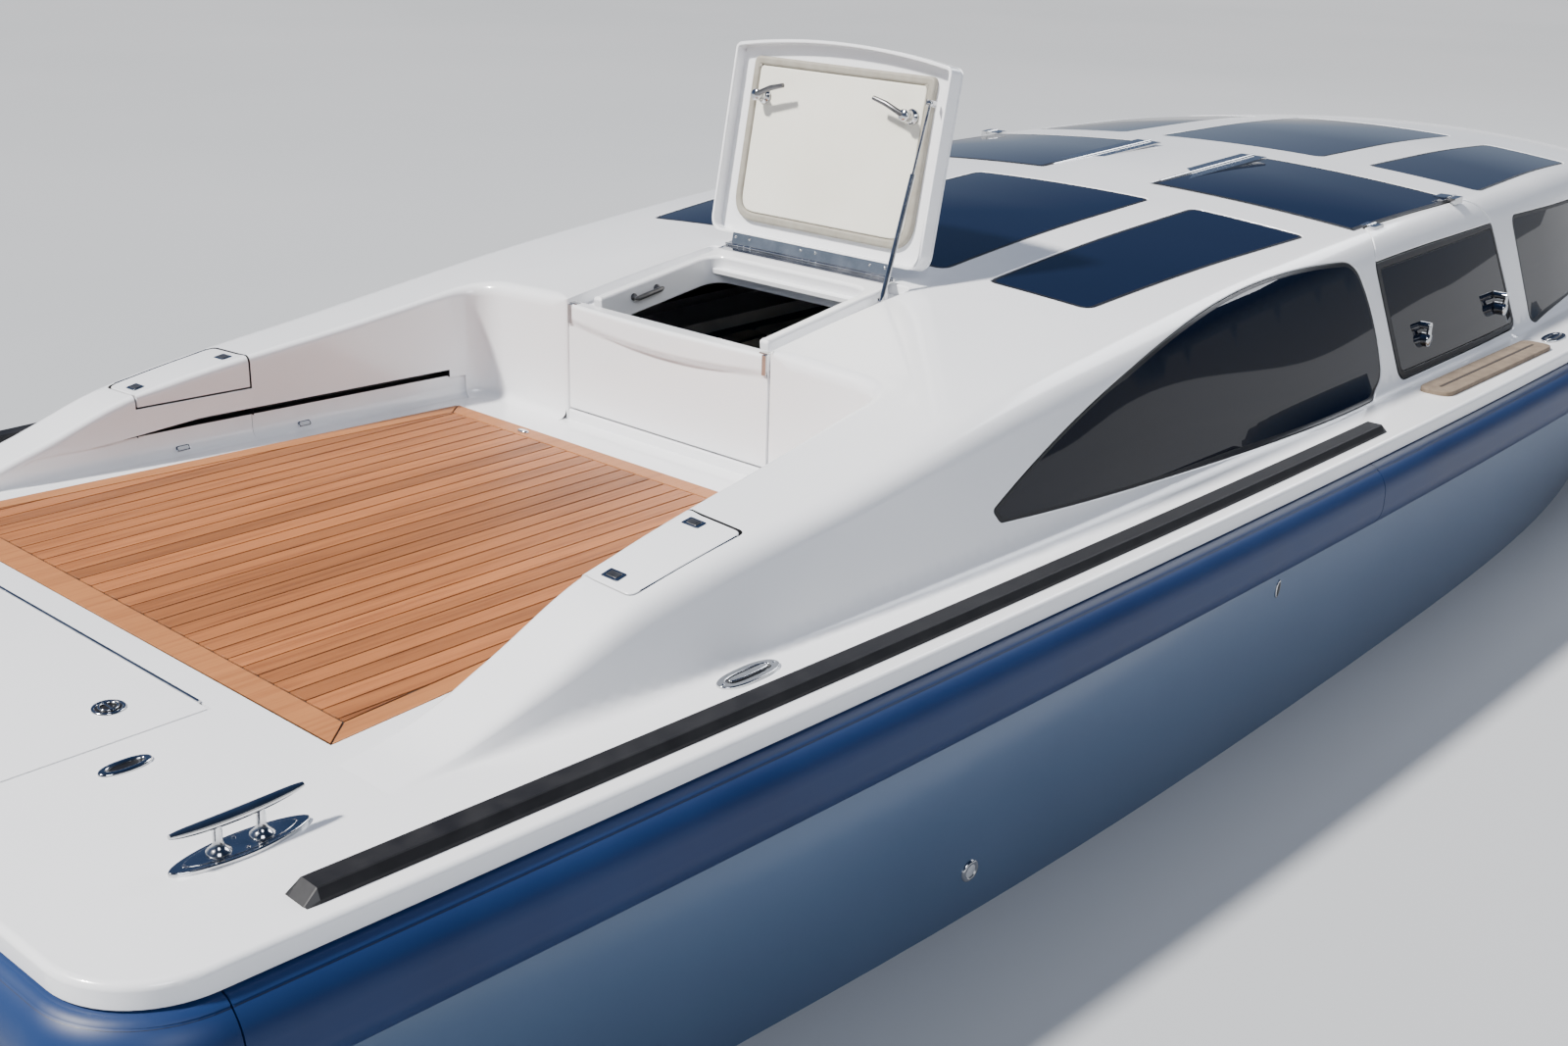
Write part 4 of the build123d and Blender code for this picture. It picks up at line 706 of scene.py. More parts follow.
def teak_material(name, light, dark, run):
    """Oiled teak with grain along the planks. Each plank has its own shade, and run is how much."""
    material = bpy.data.materials.new(name)
    tree = Tree(material)
    grain = tree.noise(1.0, 6.0, GRAIN_STRETCH)
    middle = tuple(0.5 * (a + b) for a, b in zip(light, dark))
    colours = tree.ramp(grain, ((0.25, dark), (0.55, light), (0.85, middle)))
    planks = tree.add("Math", {0: tree.axis("Object", "Y"), 1: 1 / PLANK}, "MULTIPLY")
    plank = tree.add("Math", {0: planks.outputs[0]}, "FLOOR")
    shade = tree.add("TexWhiteNoise", {})
    shade.noise_dimensions = "1D"
    tree.feed(shade, {"W": plank.outputs[0]})
    tone = tree.ranged(shade.outputs["Value"], 1 - run, 1 + run)
    soft = tree.ranged(tree.noise(1.0, 3.0, DRIFT_STRETCH), 1 - 0.7 * run, 1 + 0.7 * run)
    both = tree.add("Math", {0: tone, 1: soft}, "MULTIPLY").outputs[0]
    tree.feed(tree.surface, {"Base Color": tree.scaled(colours, both), "Roughness": 0.5})
    tree.bump(grain, 0.18, 0.0006)
    return material


PLANK = 0.050
GRAIN_STRETCH, DRIFT_STRETCH = (3.5, 95.0, 40.0), (1.1, 22.0, 1.0)
TEAK = teak_material("teak_finish", (0.330, 0.118, 0.036), (0.190, 0.062, 0.019), 0.26)
TEAK_BORDER = teak_material("teak_border_finish", (0.400, 0.155, 0.050), (0.300, 0.108, 0.034), 0.05)
CAULK = varied("caulk_finish", (0.020, 0.013, 0.009), (0.036, 0.024, 0.017), 0.7, 40)
CREAM = varied("lid_lining_finish", (0.78, 0.76, 0.66), (0.83, 0.81, 0.72), 0.4, 4, 0.06,
               bump_strength=0.06, bump_distance=0.0008, bump_scale=60)
SEAL_TAN = varied("lid_seal_finish", (0.27, 0.25, 0.205), (0.33, 0.31, 0.26), 0.62, 30, 0.08,
                  bump_strength=0.15, bump_distance=0.0005, bump_scale=300)
DARK_CHROME = varied("lever_finish", (0.10, 0.10, 0.105), (0.17, 0.17, 0.175), 0.3, 40, 0.08, metallic=0.8)
LENS = varied("light_lens_finish", (0.55, 0.56, 0.58), (0.66, 0.67, 0.69), 0.18, 40, 0.05, coat=0.6)
PIPING = varied("piping_finish", (0.016, 0.022, 0.055), (0.024, 0.032, 0.070), 0.5, 40, 0.08)
STRIP_END = varied("strip_end_finish", (0.020, 0.020, 0.022), (0.034, 0.034, 0.036), 0.5, 30, 0.08,
                   specular=0.3)

FINISHES = {
    "white_gelcoat": GELCOAT, "collar_navy": NAVY, "topside_paint": TOPSIDE, "stainless": STAINLESS,
    "black_rubber": RUBBER, "step_tread": TREAD, "cabin_trim": TRIM, "cabin_carpet": CARPET,
    "upholstery": VINYL, "wheel_grip": GRIP, "engine": CASTING, "drive_paint": DRIVE,
    "propeller_bronze": BRONZE, "tinted_glass": GLASS, "teak": TREAD,
}
for entry in frame["record"]["subparts"]:
    node = frame["nodes"][entry["node"]]
    node.data.materials.clear()
    node.data.materials.append(FINISHES[entry["material_slot"]])


# Superstructure
COCKPIT_AFT, COCKPIT_AFT_HALF, COCKPIT_FORE_HALF = 0.600, 0.851, 0.713
BULKHEAD = 2.280
ENTRY_HALF, ENTRY_FORE = 0.358, 2.825
COAMING_ROUND, BULKHEAD_ROUND, CORNER_ROUND, JAMB_ROUND = 0.020, 0.034, 0.100, 0.005
FLOOR_COVE, ROUND_SHARE = 0.030, 0.45
LOCKER_AFT, LOCKER_FORE, LOCKER_OUTER, LOCKER_LOW = 1.285, 1.580, 0.930, 0.133
MOVING_GAP = 0.005
LOCKER_HOLE = (LOCKER_AFT - MOVING_GAP, LOCKER_FORE + MOVING_GAP, LOCKER_OUTER + MOVING_GAP)
WALL_RETURN = 0.020
SHELL = 0.035
SKIN_STEP, SKIN_MARGIN = 0.045, 0.008
LINING_FORE, LINING_STEP, LINING_MARGIN = 7.70, 0.08, 0.015


def cockpit_half(station):
    """Half-breadth of the cockpit between the coamings."""
    along = (np.asarray(station) - COCKPIT_AFT) / (BULKHEAD - COCKPIT_AFT)
    return COCKPIT_AFT_HALF + (COCKPIT_FORE_HALF - COCKPIT_AFT_HALF) * along


def roof_height(station, y):
    """Height above the deck of the skin over a plan point."""
    where = roof_place(np.asarray(station, float), np.asarray(y, float))
    return skin_point(where[:, 0], where[:, 1])[:, 2] - DECK


def over_deck(station, y, z):
    """Points at stations, breadths and heights above the deck."""
    return np.stack(np.broadcast_arrays(station - HALF_LENGTH, y, DECK + z), axis=-1)


def rolled_wall(patches, plan, radius, floor, cove, sign):
    """The skin rolled over an edge and down a wall. Returns its edge, and the wall's points and normals.

    plan is the port line (station, breadth), run so that the opening is on its right; floor is the height
    above the deck where the wall ends, one value or one for each point."""
    tangent = np.gradient(plan, axis=0)
    out = unit(np.stack([tangent[:, 1], -tangent[:, 0]], axis=-1))
    top = roof_height(*plan.T)
    floor = np.broadcast_to(floor, top.shape)
    room = np.maximum(top - floor, 0.0)
    r = np.minimum(radius, ROUND_SHARE * room)
    c = np.minimum(cove, ROUND_SHARE * room)
    place = roof_place(*(plan - out * r[:, None]).T)
    start, start_n, _, _ = skin_frame(*place.T)
    rolled = bezier(start, over_deck(*plan.T, top), over_deck(*plan.T, top - r), 6)
    slot_low, slot_high = (np.clip(z, floor + c, top - r) for z in slot_heights(plan))
    wall = np.stack([over_deck(*plan.T, slot_high), over_deck(*plan.T, slot_low)], axis=1)
    foot = bezier(over_deck(*plan.T, floor + c), over_deck(*plan.T, floor),
                  over_deck(*(plan + out * c[:, None]).T, floor), 5)
    points = np.concatenate([rolled, wall, foot], axis=1)
    flat = np.column_stack([out, np.zeros(len(out))])
    roll_t = np.linspace(0, 1, rolled.shape[1])[None, :, None]
    foot_t = np.linspace(0, 1 if cove else 0, foot.shape[1])[None, :, None]
    normals = np.concatenate([
        start_n[:, None] * (1 - roll_t) + flat[:, None] * roll_t,
        np.repeat(flat[:, None], wall.shape[1], axis=1),
        flat[:, None] * (1 - foot_t) + UP * foot_t,
    ], axis=1)
    over = rolled.shape[1] + 1
    sink = np.where(floor > 0, 0.0, recess_depth(plan))
    level = points[:, over:].copy()
    points[:, over:] -= flat[:, None] * sink[:, None, None]
    if sign < 0:
        points, level, normals, place = (q * MIRROR[:q.shape[-1]] for q in (points, level, normals, place))
    patches.grid(points[:, :over], normals[:, :over])
    ends = np.flatnonzero((sink[:-1] > 0) & (sink[1:] == 0))
    last = ends[0] if len(ends) else len(plan) - 1
    patches.grid(points[:last + 1, over:], normals[:last + 1, over:])
    if len(ends):
        patches.grid(level[last:], normals[last:, over:])
        patches.flat([points[last, over:], level[last]], AFTWARD)
    ledge = (slot_high - slot_low < NO_SLOT) & (sink > 0)
    for i in np.flatnonzero(ledge[:-1] & ledge[1:]):
        patches.flat([points[i:i + 2, over - 1], points[i:i + 2, over]], -UP)
    slot_pocket(patches, plan, -out, slot_low, slot_high, sign)
    return place, points, normals


SLOT_AFT, SLOT_FORE, SLOT_LOW, SLOT_DEPTH = 1.190, 2.170, 0.060, 0.045
# Look 2 is painted shade: faces inside the slot, the locker trays and the wall ends beside the lids get the
# near-black finish
PAINTED_SHADE_LOOK, SLOT_TAPER, SLOT_RISE = 2, 0.26, (0.002, 0.022)
# Walls nearer the centreline than this belong to the entry
ENTRY_WALLS = 0.5
NO_SLOT = 1e-5
RECESS_AFT, RECESS_RAMP, RECESS_FORE, RECESS_DEPTH = 0.85, 0.35, 2.222, 0.012


def slot_heights(plan):
    """Heights of the lower and upper edge of the slot along a wall. They meet where there is no slot."""
    t = (plan[:, 0] - SLOT_AFT) / (SLOT_FORE - SLOT_AFT)
    wide = np.where((t < 0) | (t > 1.0001) | (plan[:, 1] < ENTRY_WALLS), 0.0, np.clip(t / SLOT_TAPER, 0, 1))
    return SLOT_LOW + SLOT_RISE[0] * wide, SLOT_LOW + SLOT_RISE[1] * wide


def recess_depth(plan):
    """How far the wall below the slot stands back, at each point of a plan line."""
    t = np.clip((plan[:, 0] - RECESS_AFT) / RECESS_RAMP, 0, 1)
    on = (plan[:, 0] < RECESS_FORE) & (plan[:, 1] > ENTRY_WALLS)
    return np.where(on, RECESS_DEPTH * t * t * (3 - 2 * t), 0.0)


def slot_pocket(patches, plan, into, low, high, sign):
    """The slot's inside faces, painted near-black as shade, behind a stretch of wall."""
    on = np.flatnonzero(high - low > NO_SLOT)
    if not len(on):
        return
    rows = np.arange(max(on[0] - 1, 0), on[-1] + 1)
    flat, inward = plan[rows], into[rows]
    deep = flat + inward * SLOT_DEPTH
    lip = flat + inward * recess_depth(flat)[:, None]

    def spots(xy, z):
        return side_points(xy, sign, DECK + z[rows])

    patches.flat([spots(flat, high), spots(deep, high)], -UP, PAINTED_SHADE_LOOK)
    patches.flat([spots(lip, low), spots(deep, low)], UP, PAINTED_SHADE_LOOK)
    back = np.column_stack([-inward * (1, sign), np.zeros(len(rows))])
    patches.rows([(spots(deep, z), back) for z in (high, low)], PAINTED_SHADE_LOOK)
    end = [np.array([spots(xy, z)[-1] for z in (high, low)]) for xy in (flat, deep)]
    patches.flat(end, AFTWARD, PAINTED_SHADE_LOOK)


def line(a, b, step=0.03):
    """Points of a straight run from a to b."""
    a, b = np.asarray(a, float), np.asarray(b, float)
    count = max(1, int(math.ceil(np.linalg.norm(b - a) / step)))
    return a + (b - a) * np.linspace(0, 1, count + 1)[:, None]


def coaming_line(aft, fore):
    """Plan line along a coaming's inner face."""
    run = line((aft, 0), (fore, 0), 0.025)
    run[:, 1] = cockpit_half(run[:, 0])
    return run


def corner(a, b, c, radius, count=10):
    """Rounded corner of a plan line at b, between a and c."""
    a, b, c = (np.asarray(p, float) for p in (a, b, c))
    before = b + unit(a - b) * radius
    after = b + unit(c - b) * radius
    return quadratic(np.linspace(0, 1, count + 1)[:, None], before, b, after)


GUTTER_DROP = 0.046
SILL = 0.028


def facing(points, normals, centre):
    """Normals turned to point towards a centre."""
    toward = np.einsum("...i,...i->...", np.asarray(centre) - points, normals) < 0
    return np.where(toward[..., None], -normals, normals)


def locker_line(start, end, outer, turn=0.020):
    """Plan line from a point on the cockpit's edge out round a locker and back in to another point."""
    (a, a_in), (b, b_in) = start, end
    way = math.copysign(turn, b - a)
    return np.vstack([
        line((a, a_in), (a, outer - turn)),
        corner((a, 0.8), (a, outer), (b, outer), turn, 5)[1:],
        line((a + way, outer), (b - way, outer))[1:],
        corner((a, outer), (b, outer), (b, 0.8), turn, 5)[1:],
        line((b, outer - turn), (b, b_in))[1:],
    ])


def build_cockpit_side(patches, sign):
    """One side's walls: coaming, bulkhead and entry. Returns the line where the skin meets them."""
    inner = cockpit_half(BULKHEAD)
    fore_corner = corner((1.9, cockpit_half(1.9)), (BULKHEAD, inner), (BULKHEAD, 0.4), CORNER_ROUND, 14)
    jamb = corner((BULKHEAD, 0.5), (BULKHEAD, ENTRY_HALF), (ENTRY_FORE, ENTRY_HALF), 0.010, 5)
    bulkhead = np.vstack([
        coaming_line(LOCKER_FORE + MOVING_GAP, SLOT_FORE),
        coaming_line(SLOT_FORE + 0.0005, fore_corner[0, 0])[:-1],
        fore_corner,
        line(fore_corner[-1], jamb[0])[1:],
    ])
    aft_line = coaming_line(AFT_END, LOCKER_AFT - MOVING_GAP)
    aft_edge, aft_points, aft_normals = rolled_wall(patches, aft_line, COAMING_ROUND, 0.0, FLOOR_COVE, sign)
    # The rounding grows towards the bulkhead and shrinks again towards the entry
    round_over = np.interp(bulkhead[:, 0], (BULKHEAD - 0.16, BULKHEAD), (COAMING_ROUND, BULKHEAD_ROUND))
    round_over = np.minimum(round_over, np.interp(bulkhead[:, 1], (ENTRY_HALF, 0.46), (JAMB_ROUND, 0.05)))
    fore_edge, fore_points, fore_normals = rolled_wall(patches, bulkhead, round_over, 0.0, FLOOR_COVE, sign)
    entry_corner = corner((2.5, ENTRY_HALF), (ENTRY_FORE, ENTRY_HALF), (ENTRY_FORE, 0.0), 0.03, 6)
    return_end = (BULKHEAD + SHELL, ENTRY_HALF)
    gutter_side = np.vstack([
        jamb,
        return_end,
        line((return_end[0] + 0.0005, ENTRY_HALF), entry_corner[0]),
        entry_corner[1:],
        line(entry_corner[-1], (ENTRY_FORE, 0.0))[1:],
    ])
    floor = roof_height(*gutter_side.T) - GUTTER_DROP
    floor[:len(jamb) + 1] = 0.0
    entry_edge, _, _ = rolled_wall(patches, gutter_side, JAMB_ROUND, floor, 0.001, sign)
    aft, fore, outer = LOCKER_HOLE
    around = locker_line((aft, abs(skin_y(aft_edge[-1]))), (fore, abs(skin_y(fore_edge[0]))), outer)
    locker_edge = roof_place(around[:, 0], sign * around[:, 1])
    p = skin_point(*locker_edge.T)
    down = p.copy()
    down[:, 2] = DECK + LOCKER_LOW
    side = unit(np.gradient(p, axis=0))
    middle = ((aft + fore) / 2 - HALF_LENGTH, sign * 0.87, DECK + 0.2)
    level = facing(p, np.cross(side, UP), middle)
    # The tray's walls under the locker lid are painted near-black, as shade in the lid's gap
    patches.rows([(p, level), (down, level)], PAINTED_SHADE_LOOK)
    # The wall's ends beside the locker are painted near-black, as shade in the gap
    ends = ((aft_points[-1], aft_normals[-1], -AFTWARD), (fore_points[0], fore_normals[0], AFTWARD))
    for points, normals, toward in ends:
        patches.flat([points, points - normals * WALL_RETURN], toward, PAINTED_SHADE_LOOK)
    build_locker(patches, sign)
    return np.vstack([aft_edge, locker_edge[1:-1], fore_edge, entry_edge[1:]])


# Pocket in a locker's tray: its aft, fore, inner and outer edge and the height of its floor
POCKET = (1.310, 1.548, 0.835, 0.915, 0.045)


def build_locker(patches, sign):
    """Tray under a locker lid, with its pocket, and the cockpit wall below it."""
    aft, fore, outer = LOCKER_HOLE
    rounding = 0.002
    stations = np.linspace(aft, fore, 9)
    half = cockpit_half(stations)

    def spot(station, y, z):
        return over_deck(station, sign * y, z)

    inward, rising = (np.tile(n, (len(stations), 1, 1)) for n in ((0.0, -sign, 0.0), UP))
    top = bezier(spot(stations, half + rounding, LOCKER_LOW), spot(stations, half, LOCKER_LOW),
                 spot(stations, half, LOCKER_LOW - rounding), 4)
    wall = np.stack([stations, half], axis=-1)
    lower = half + recess_depth(wall)
    foot = bezier(spot(stations, lower, FLOOR_COVE), spot(stations, lower, 0.0),
                  spot(stations, lower - FLOOR_COVE, 0.0), 5)
    t = np.linspace(0, 1, 5)[None, :, None]
    u = np.linspace(0, 1, 6)[None, :, None]
    slot_low, slot_high = slot_heights(wall)
    above = np.concatenate([top, spot(stations, half, slot_high)[:, None]], axis=1)
    below = np.concatenate([spot(stations, lower, slot_low)[:, None], foot], axis=1)
    patches.grid(above, np.concatenate([rising * (1 - t) + inward * t, inward], axis=1))
    patches.grid(below, np.concatenate([inward, inward * (1 - u) + rising * u], axis=1))
    slot_pocket(patches, wall, np.tile((0.0, 1.0), (len(wall), 1)), slot_low, slot_high, sign)
    p_aft, p_fore, p_in, p_out, p_low = POCKET
    rim = np.array(((aft, cockpit_half(aft) + rounding), (fore, cockpit_half(fore) + rounding),
                    (fore, outer), (aft, outer)))
    hole = np.array(((p_aft, p_in), (p_fore, p_in), (p_fore, p_out), (p_aft, p_out)))
    level = [spot(*q.T, LOCKER_LOW) for q in (rim, hole)]
    # The tray's top round the pocket is painted near-black, as shade seen through the lid's gap
    patches.grid(np.stack(level, axis=1), np.tile(UP, (4, 2, 1)), PAINTED_SHADE_LOOK, closed=True)
    low = spot(*hole.T, p_low)
    centre = low.mean(axis=0)
    for i in range(4):
        j = (i + 1) % 4
        quad = np.array(((level[1][i], level[1][j]), (low[i], low[j])))
        normal = np.cross(quad[0, 1] - quad[0, 0], UP)
        patches.grid(quad, facing(quad, np.tile(unit(normal), (2, 2, 1)), centre))
    patches.flat([low[[0, 3]], low[[1, 2]]], UP)


def build_sill(patches):
    """Low step of the moulding under the door of the entry."""
    half, aft, fore = ENTRY_HALF, at(BULKHEAD), at(BULKHEAD + SHELL)
    r = 0.006
    arc = [(aft, 0.0), (aft, SILL - r), (aft + 0.3 * r, SILL - 0.3 * r), (aft + r, SILL), (fore, SILL),
           (fore, 0.0)]
    turn = [(-1, 0), (-1, 0), (-0.7, 0.7), (0, 1), (0.2, 1), (1, 0.2)]
    points = np.array([[(x, y, DECK + z) for x, z in arc] for y in (-half, half)])
    normals = np.array([[(x, 0.0, z) for x, z in turn]] * 2)
    patches.grid(points, normals)


def build_superstructure():
    """The white moulding: coamings, cabin sides and roof in one skin, with the walls of the cockpit."""
    patches = Patches()
    port = build_cockpit_side(patches, 1)
    starboard = build_cockpit_side(patches, -1)
    build_sill(patches)
    base = BANDS[3]
    corners = ((AFT_END, -base), (FORE_END, -base), (FORE_END, base), (AFT_END, base), port[0])
    sides = [line(a, b, 0.05)[:-1] for a, b in zip(corners, corners[1:])]
    last = line(starboard[0], corners[0], 0.05)[1:-1]
    outline = np.vstack([*sides, port, starboard[::-1][1:], last])
    holes = openings()
    face_loops = [outline]
    for hole in holes:
        face, rows = rounded_edge(hole, -loop_normals(hole), HOLE_ROUND, SHELL)
        patches.rows(rows, closed=True)
        face_loops.append(face)
    grid = skin_grid((AFT_END + 0.02, -base + 0.01), (FORE_END - 0.02, base - 0.01), SKIN_STEP)
    skin_face(patches, face_loops, grid, SKIN_MARGIN)
    add_lining(patches, holes)
    patches.make("superstructure", [GELCOAT, LINING, BLACK_TRIM_AND_SHADE],
                 "root", "white_gelcoat", "cabin_shell", "coaming_starboard", "coaming_port")


def skin_y(place):
    """Breadth of a point of the skin given by its own coordinates."""
    return float(skin_point(np.array([place[0]]), np.array([place[1]]))[0, 1])


def add_lining(patches, holes):
    """The cabin's inside face, with the same openings."""
    aft, fore, reach = BULKHEAD + SHELL, LINING_FORE, BANDS[2] - 0.02
    inner = roof_place(np.array([aft]), np.array([ENTRY_HALF]))[0, 1]
    port = line((aft, inner), (ENTRY_FORE, inner), 0.06)
    port[:, 1] = roof_place(port[:, 0], np.full(len(port), ENTRY_HALF))[:, 1]
    corners = ((aft, -reach), (fore, -reach), (fore, reach), (aft, reach), port[0])
    sides = [line(a, b, LINING_STEP)[1:] for a, b in zip(corners, corners[1:])]
    last = line((aft, -inner), (aft, -reach), LINING_STEP)[1:-1]
    outline = np.vstack([corners[0], *sides, port[1:], (port * (1, -1))[::-1], last])
    grid = skin_grid((aft + 0.03, -reach + 0.02), (fore - 0.03, reach - 0.02), LINING_STEP)
    skin_face(patches, [outline, *holes], grid, LINING_MARGIN, SHELL, -1, look=1)


HOLE_ROUND = 0.004
# Side windows, as station and height above the deck
AFT_WINDOW = ((2.2705, 0.106), (4.080, 0.392), (4.176, 0.050), (4.100, 0.004), (2.292, 0.074))
AFT_WINDOW_MIDS = {0: (2.900, 0.316), 1: (4.152, 0.263), 3: (3.150, 0.019)}
AFT_WINDOW_ROUND = (0.012, 0.055, 0.030, 0.035, 0.012)
FORE_WINDOW = ((5.317, 0.370), (6.250, 0.330), (6.560, 0.070), (5.395, 0.004))
DOOR_GLASS = ((4.243, 0.350), (5.116, 0.356), (5.222, 0.036), (4.312, 0.040))
DOOR_OUTLINE_LOW = ((4.220, 0.3705), (4.296, 0.022), (5.243, 0.022), (5.126, 0.3705))
DOOR_SHOULDER = ((4.282, 0.904), (4.974, 0.908))
# Port roof flap: its aft, fore, inboard and outboard edge
FLAP = (4.225, 4.950, 0.205, 0.893)
# Roof glass, as corners in plan on the port side; the centre panes run across
CENTRE_PANES = ((3.002, 4.035, 0.325), (5.157, 6.290, 0.320))
SIDE_PANES = (
    ((2.997, 0.465), (2.997, 0.780), (4.035, 0.840), (4.035, 0.465)),
    ((5.175, 0.484), (5.175, 0.880), (6.223, 0.790), (6.223, 0.484)),
)
WINDSCREEN = ((6.980, 0.600), (7.720, 0.330))
PANE_ROUND = 0.035
FLAP_THICKNESS, SIDE_DOOR_THICKNESS = 0.022, 0.030


def on_side(outline, sign):
    """A side outline, as station and height, in the skin's own coordinates."""
    return anticlockwise(side_place(outline[:, 0], outline[:, 1], sign))


def on_roof(outline, sign=1):
    """A plan outline in the skin's own coordinates."""
    return anticlockwise(roof_place(outline[:, 0], sign * outline[:, 1]))


def window_loops():
    """Outlines of the fixed glass, each with its name, in the skin's own coordinates."""
    loops = []
    for name, sign in SIDES:
        aft = rounded_loop(AFT_WINDOW, AFT_WINDOW_ROUND, AFT_WINDOW_MIDS)
        loops.append(("aft_window_" + name, on_side(aft, sign)))
        loops.append(("fore_window_" + name, on_side(rounded_loop(FORE_WINDOW, 0.04), sign)))
        for place, corners in zip(("aft", "fore"), SIDE_PANES):
            loops.append((place + "_roof_pane_" + name, on_roof(rounded_loop(corners, PANE_ROUND), sign)))
    for place, (aft, fore, half) in zip(("aft", "fore"), CENTRE_PANES):
        outline = rounded_loop(tapered(aft, fore, half, half), PANE_ROUND)
        loops.append((place + "_roof_pane_centre", on_roof(outline)))
    (aft, wide), (fore, narrow) = WINDSCREEN
    loops.append(("windscreen", on_roof(rounded_loop(tapered(aft, fore, wide, narrow), 0.07))))
    return loops


def flap_corners(gap=0.0):
    """Corners of the port roof flap in the skin's own coordinates, aft inboard first, grown by a gap."""
    aft, fore, inboard, outboard = FLAP
    plan = np.array(((aft - gap, inboard - gap), (fore + gap, inboard - gap), (fore + gap, outboard + gap),
                     (aft - gap, outboard + gap)))
    return roof_place(plan[:, 0], plan[:, 1])


def door_corners(gap=0.0):
    """Corners of the port side door in the skin's own coordinates, from its aft top one downwards."""
    (aft_top, fore_top) = DOOR_SHOULDER
    inboard = FLAP[3] + MOVING_GAP + 0.001 - gap
    low_aft, foot_aft, foot_fore, low_fore = DOOR_OUTLINE_LOW
    top = roof_place(np.array((aft_top[0] - gap, fore_top[0] + gap)), np.array((inboard, inboard)))
    side = side_place(np.array((low_aft[0] - gap, foot_aft[0] - gap, foot_fore[0] + gap, low_fore[0] + gap)),
                      np.array((low_aft[1], foot_aft[1] - gap, foot_fore[1] - gap, low_fore[1])), 1)
    return np.vstack([top[:1], side, top[1:]])


def mirrored(loop, sign):
    """A port outline moved to a side, anticlockwise."""
    loop = loop * (1, sign)
    return loop if sign > 0 else loop[::-1]


def flap_loop(sign, gap=0.0):
    """Outline of a roof flap in the skin's own coordinates, grown by a gap."""
    return mirrored(rounded_loop(flap_corners(gap), 0.012, corner_steps=4), sign)


def openings():
    """Every hole of the moulding, in the skin's own coordinates."""
    loops = [loop for _, loop in window_loops()]
    flap = flap_corners(MOVING_GAP)
    door = door_corners(MOVING_GAP)
    seam = door[0, 1]
    corners = [flap[0], flap[1], (flap[1, 0], seam), door[5], door[4], door[3], door[2], door[1], door[0],
               (flap[0, 0], seam)]
    radii = (0.014, 0.014, 0.002, 0.004, 0.03, 0.04, 0.04, 0.03, 0.004, 0.002)
    hole = rounded_loop(corners, radii, corner_steps=5)
    return loops + [mirrored(hole, sign) for _, sign in SIDES]


def pane(patches, loop, border, lift=-0.0015, thickness=0.010, gap=0.0012):
    """Glass in an opening: look 0 is the glass and look 1 the dark border round it."""
    normal = loop_normals(loop)
    outer = loop + normal * gap
    inner = loop + normal * border
    rows = []
    for place, deep in ((outer, lift - thickness), (outer, lift - 0.002), (outer + normal * 0.002, lift),
                        (inner, lift)):
        p, n, along, across = skin_frame(place[:, 0], place[:, 1])
        out = -unit(normal[:, :1] * along + normal[:, 1:] * across)
        rows.append((p + n * deep, n if place is not outer else out))
    patches.rows(rows, 1, closed=True)
    low, high = np.min(inner, axis=0), np.max(inner, axis=0)
    skin_face(patches, [inner], skin_grid(low, high, 0.06), 0.02, -lift)
    skin_face(patches, [outer], skin_grid(low, high, 0.09), 0.03, thickness - lift, -1)


def build_glazing():
    """The fixed glass, in one piece for each node that it stands for."""
    loops = window_loops()
    for name, word, node, glass in (("side_glazing", "_window", "side_glass", SIDE_GLASS),
                                    ("roof_glazing", "_pane_", "roof_glass", GLASS),
                                    ("windscreen_glazing", "windscreen", "windscreen", GLASS)):
        patches = Patches()
        for pane_name, loop in loops:
            if word in pane_name:
                pane(patches, loop, 0.012)
        patches.make(name, [glass, BLACK_TRIM_AND_SHADE], "root", "tinted_glass", node)


def build_flaps_and_doors():
    """Roof flaps and side doors."""
    for name, sign in SIDES:
        patches = Patches()
        pane(patches, flap_loop(sign), 0.016, lift=0.0, thickness=FLAP_THICKNESS, gap=0.0)
        patches.make("roof_flap_panel_" + name, [GLASS, BLACK_TRIM_AND_SHADE],
                     "roof_flap_" + name, "tinted_glass", "roof_flap_" + name, "roof_flap_glass_" + name)
        corners = door_corners()
        upper = np.vstack([corners[0], corners[1], corners[4], corners[5]])
        lower = corners[1:5].copy()
        lower[[0, 3], 1] += 0.0025
        upper_loop = mirrored(rounded_loop(upper, (0.006, 0.012, 0.012, 0.006), corner_steps=4), sign)
        lower_loop = mirrored(rounded_loop(lower, (0.012, 0.035, 0.035, 0.012), corner_steps=6), sign)
        glass = on_side(rounded_loop(DOOR_GLASS, 0.02), sign)
        patches = Patches()
        skin_panel(patches, upper_loop, (), SIDE_DOOR_THICKNESS, edge=0.003)
        skin_panel(patches, lower_loop, (glass,), SIDE_DOOR_THICKNESS, edge=0.002, look=1)
        patches.make("side_door_panel_" + name, [GELCOAT, BLACK_TRIM_AND_SHADE],
                     "side_door_" + name, "white_gelcoat", "side_door_" + name)
        patches = Patches()
        pane(patches, glass, 0.004, lift=-0.001)
        patches.make("side_door_pane_" + name, [SIDE_GLASS, BLACK_TRIM_AND_SHADE],
                     "side_door_" + name, "tinted_glass", "side_door_glass_" + name)


DECK_PLANE = plane_at((-HALF_LENGTH, 0, DECK))
TEAK_AFT, TEAK_FORE, TEAK_AFT_HALF, TEAK_FORE_HALF = 0.735, 2.144, 0.772, 0.656
TEAK_TOP, TEAK_LOW = 0.002, -0.010
AFT_BORDER, FORE_BORDER, SIDE_BORDER = 0.065, 0.055, 0.050
SEAM, LAMP = 0.0045, (2.113, 0.349)


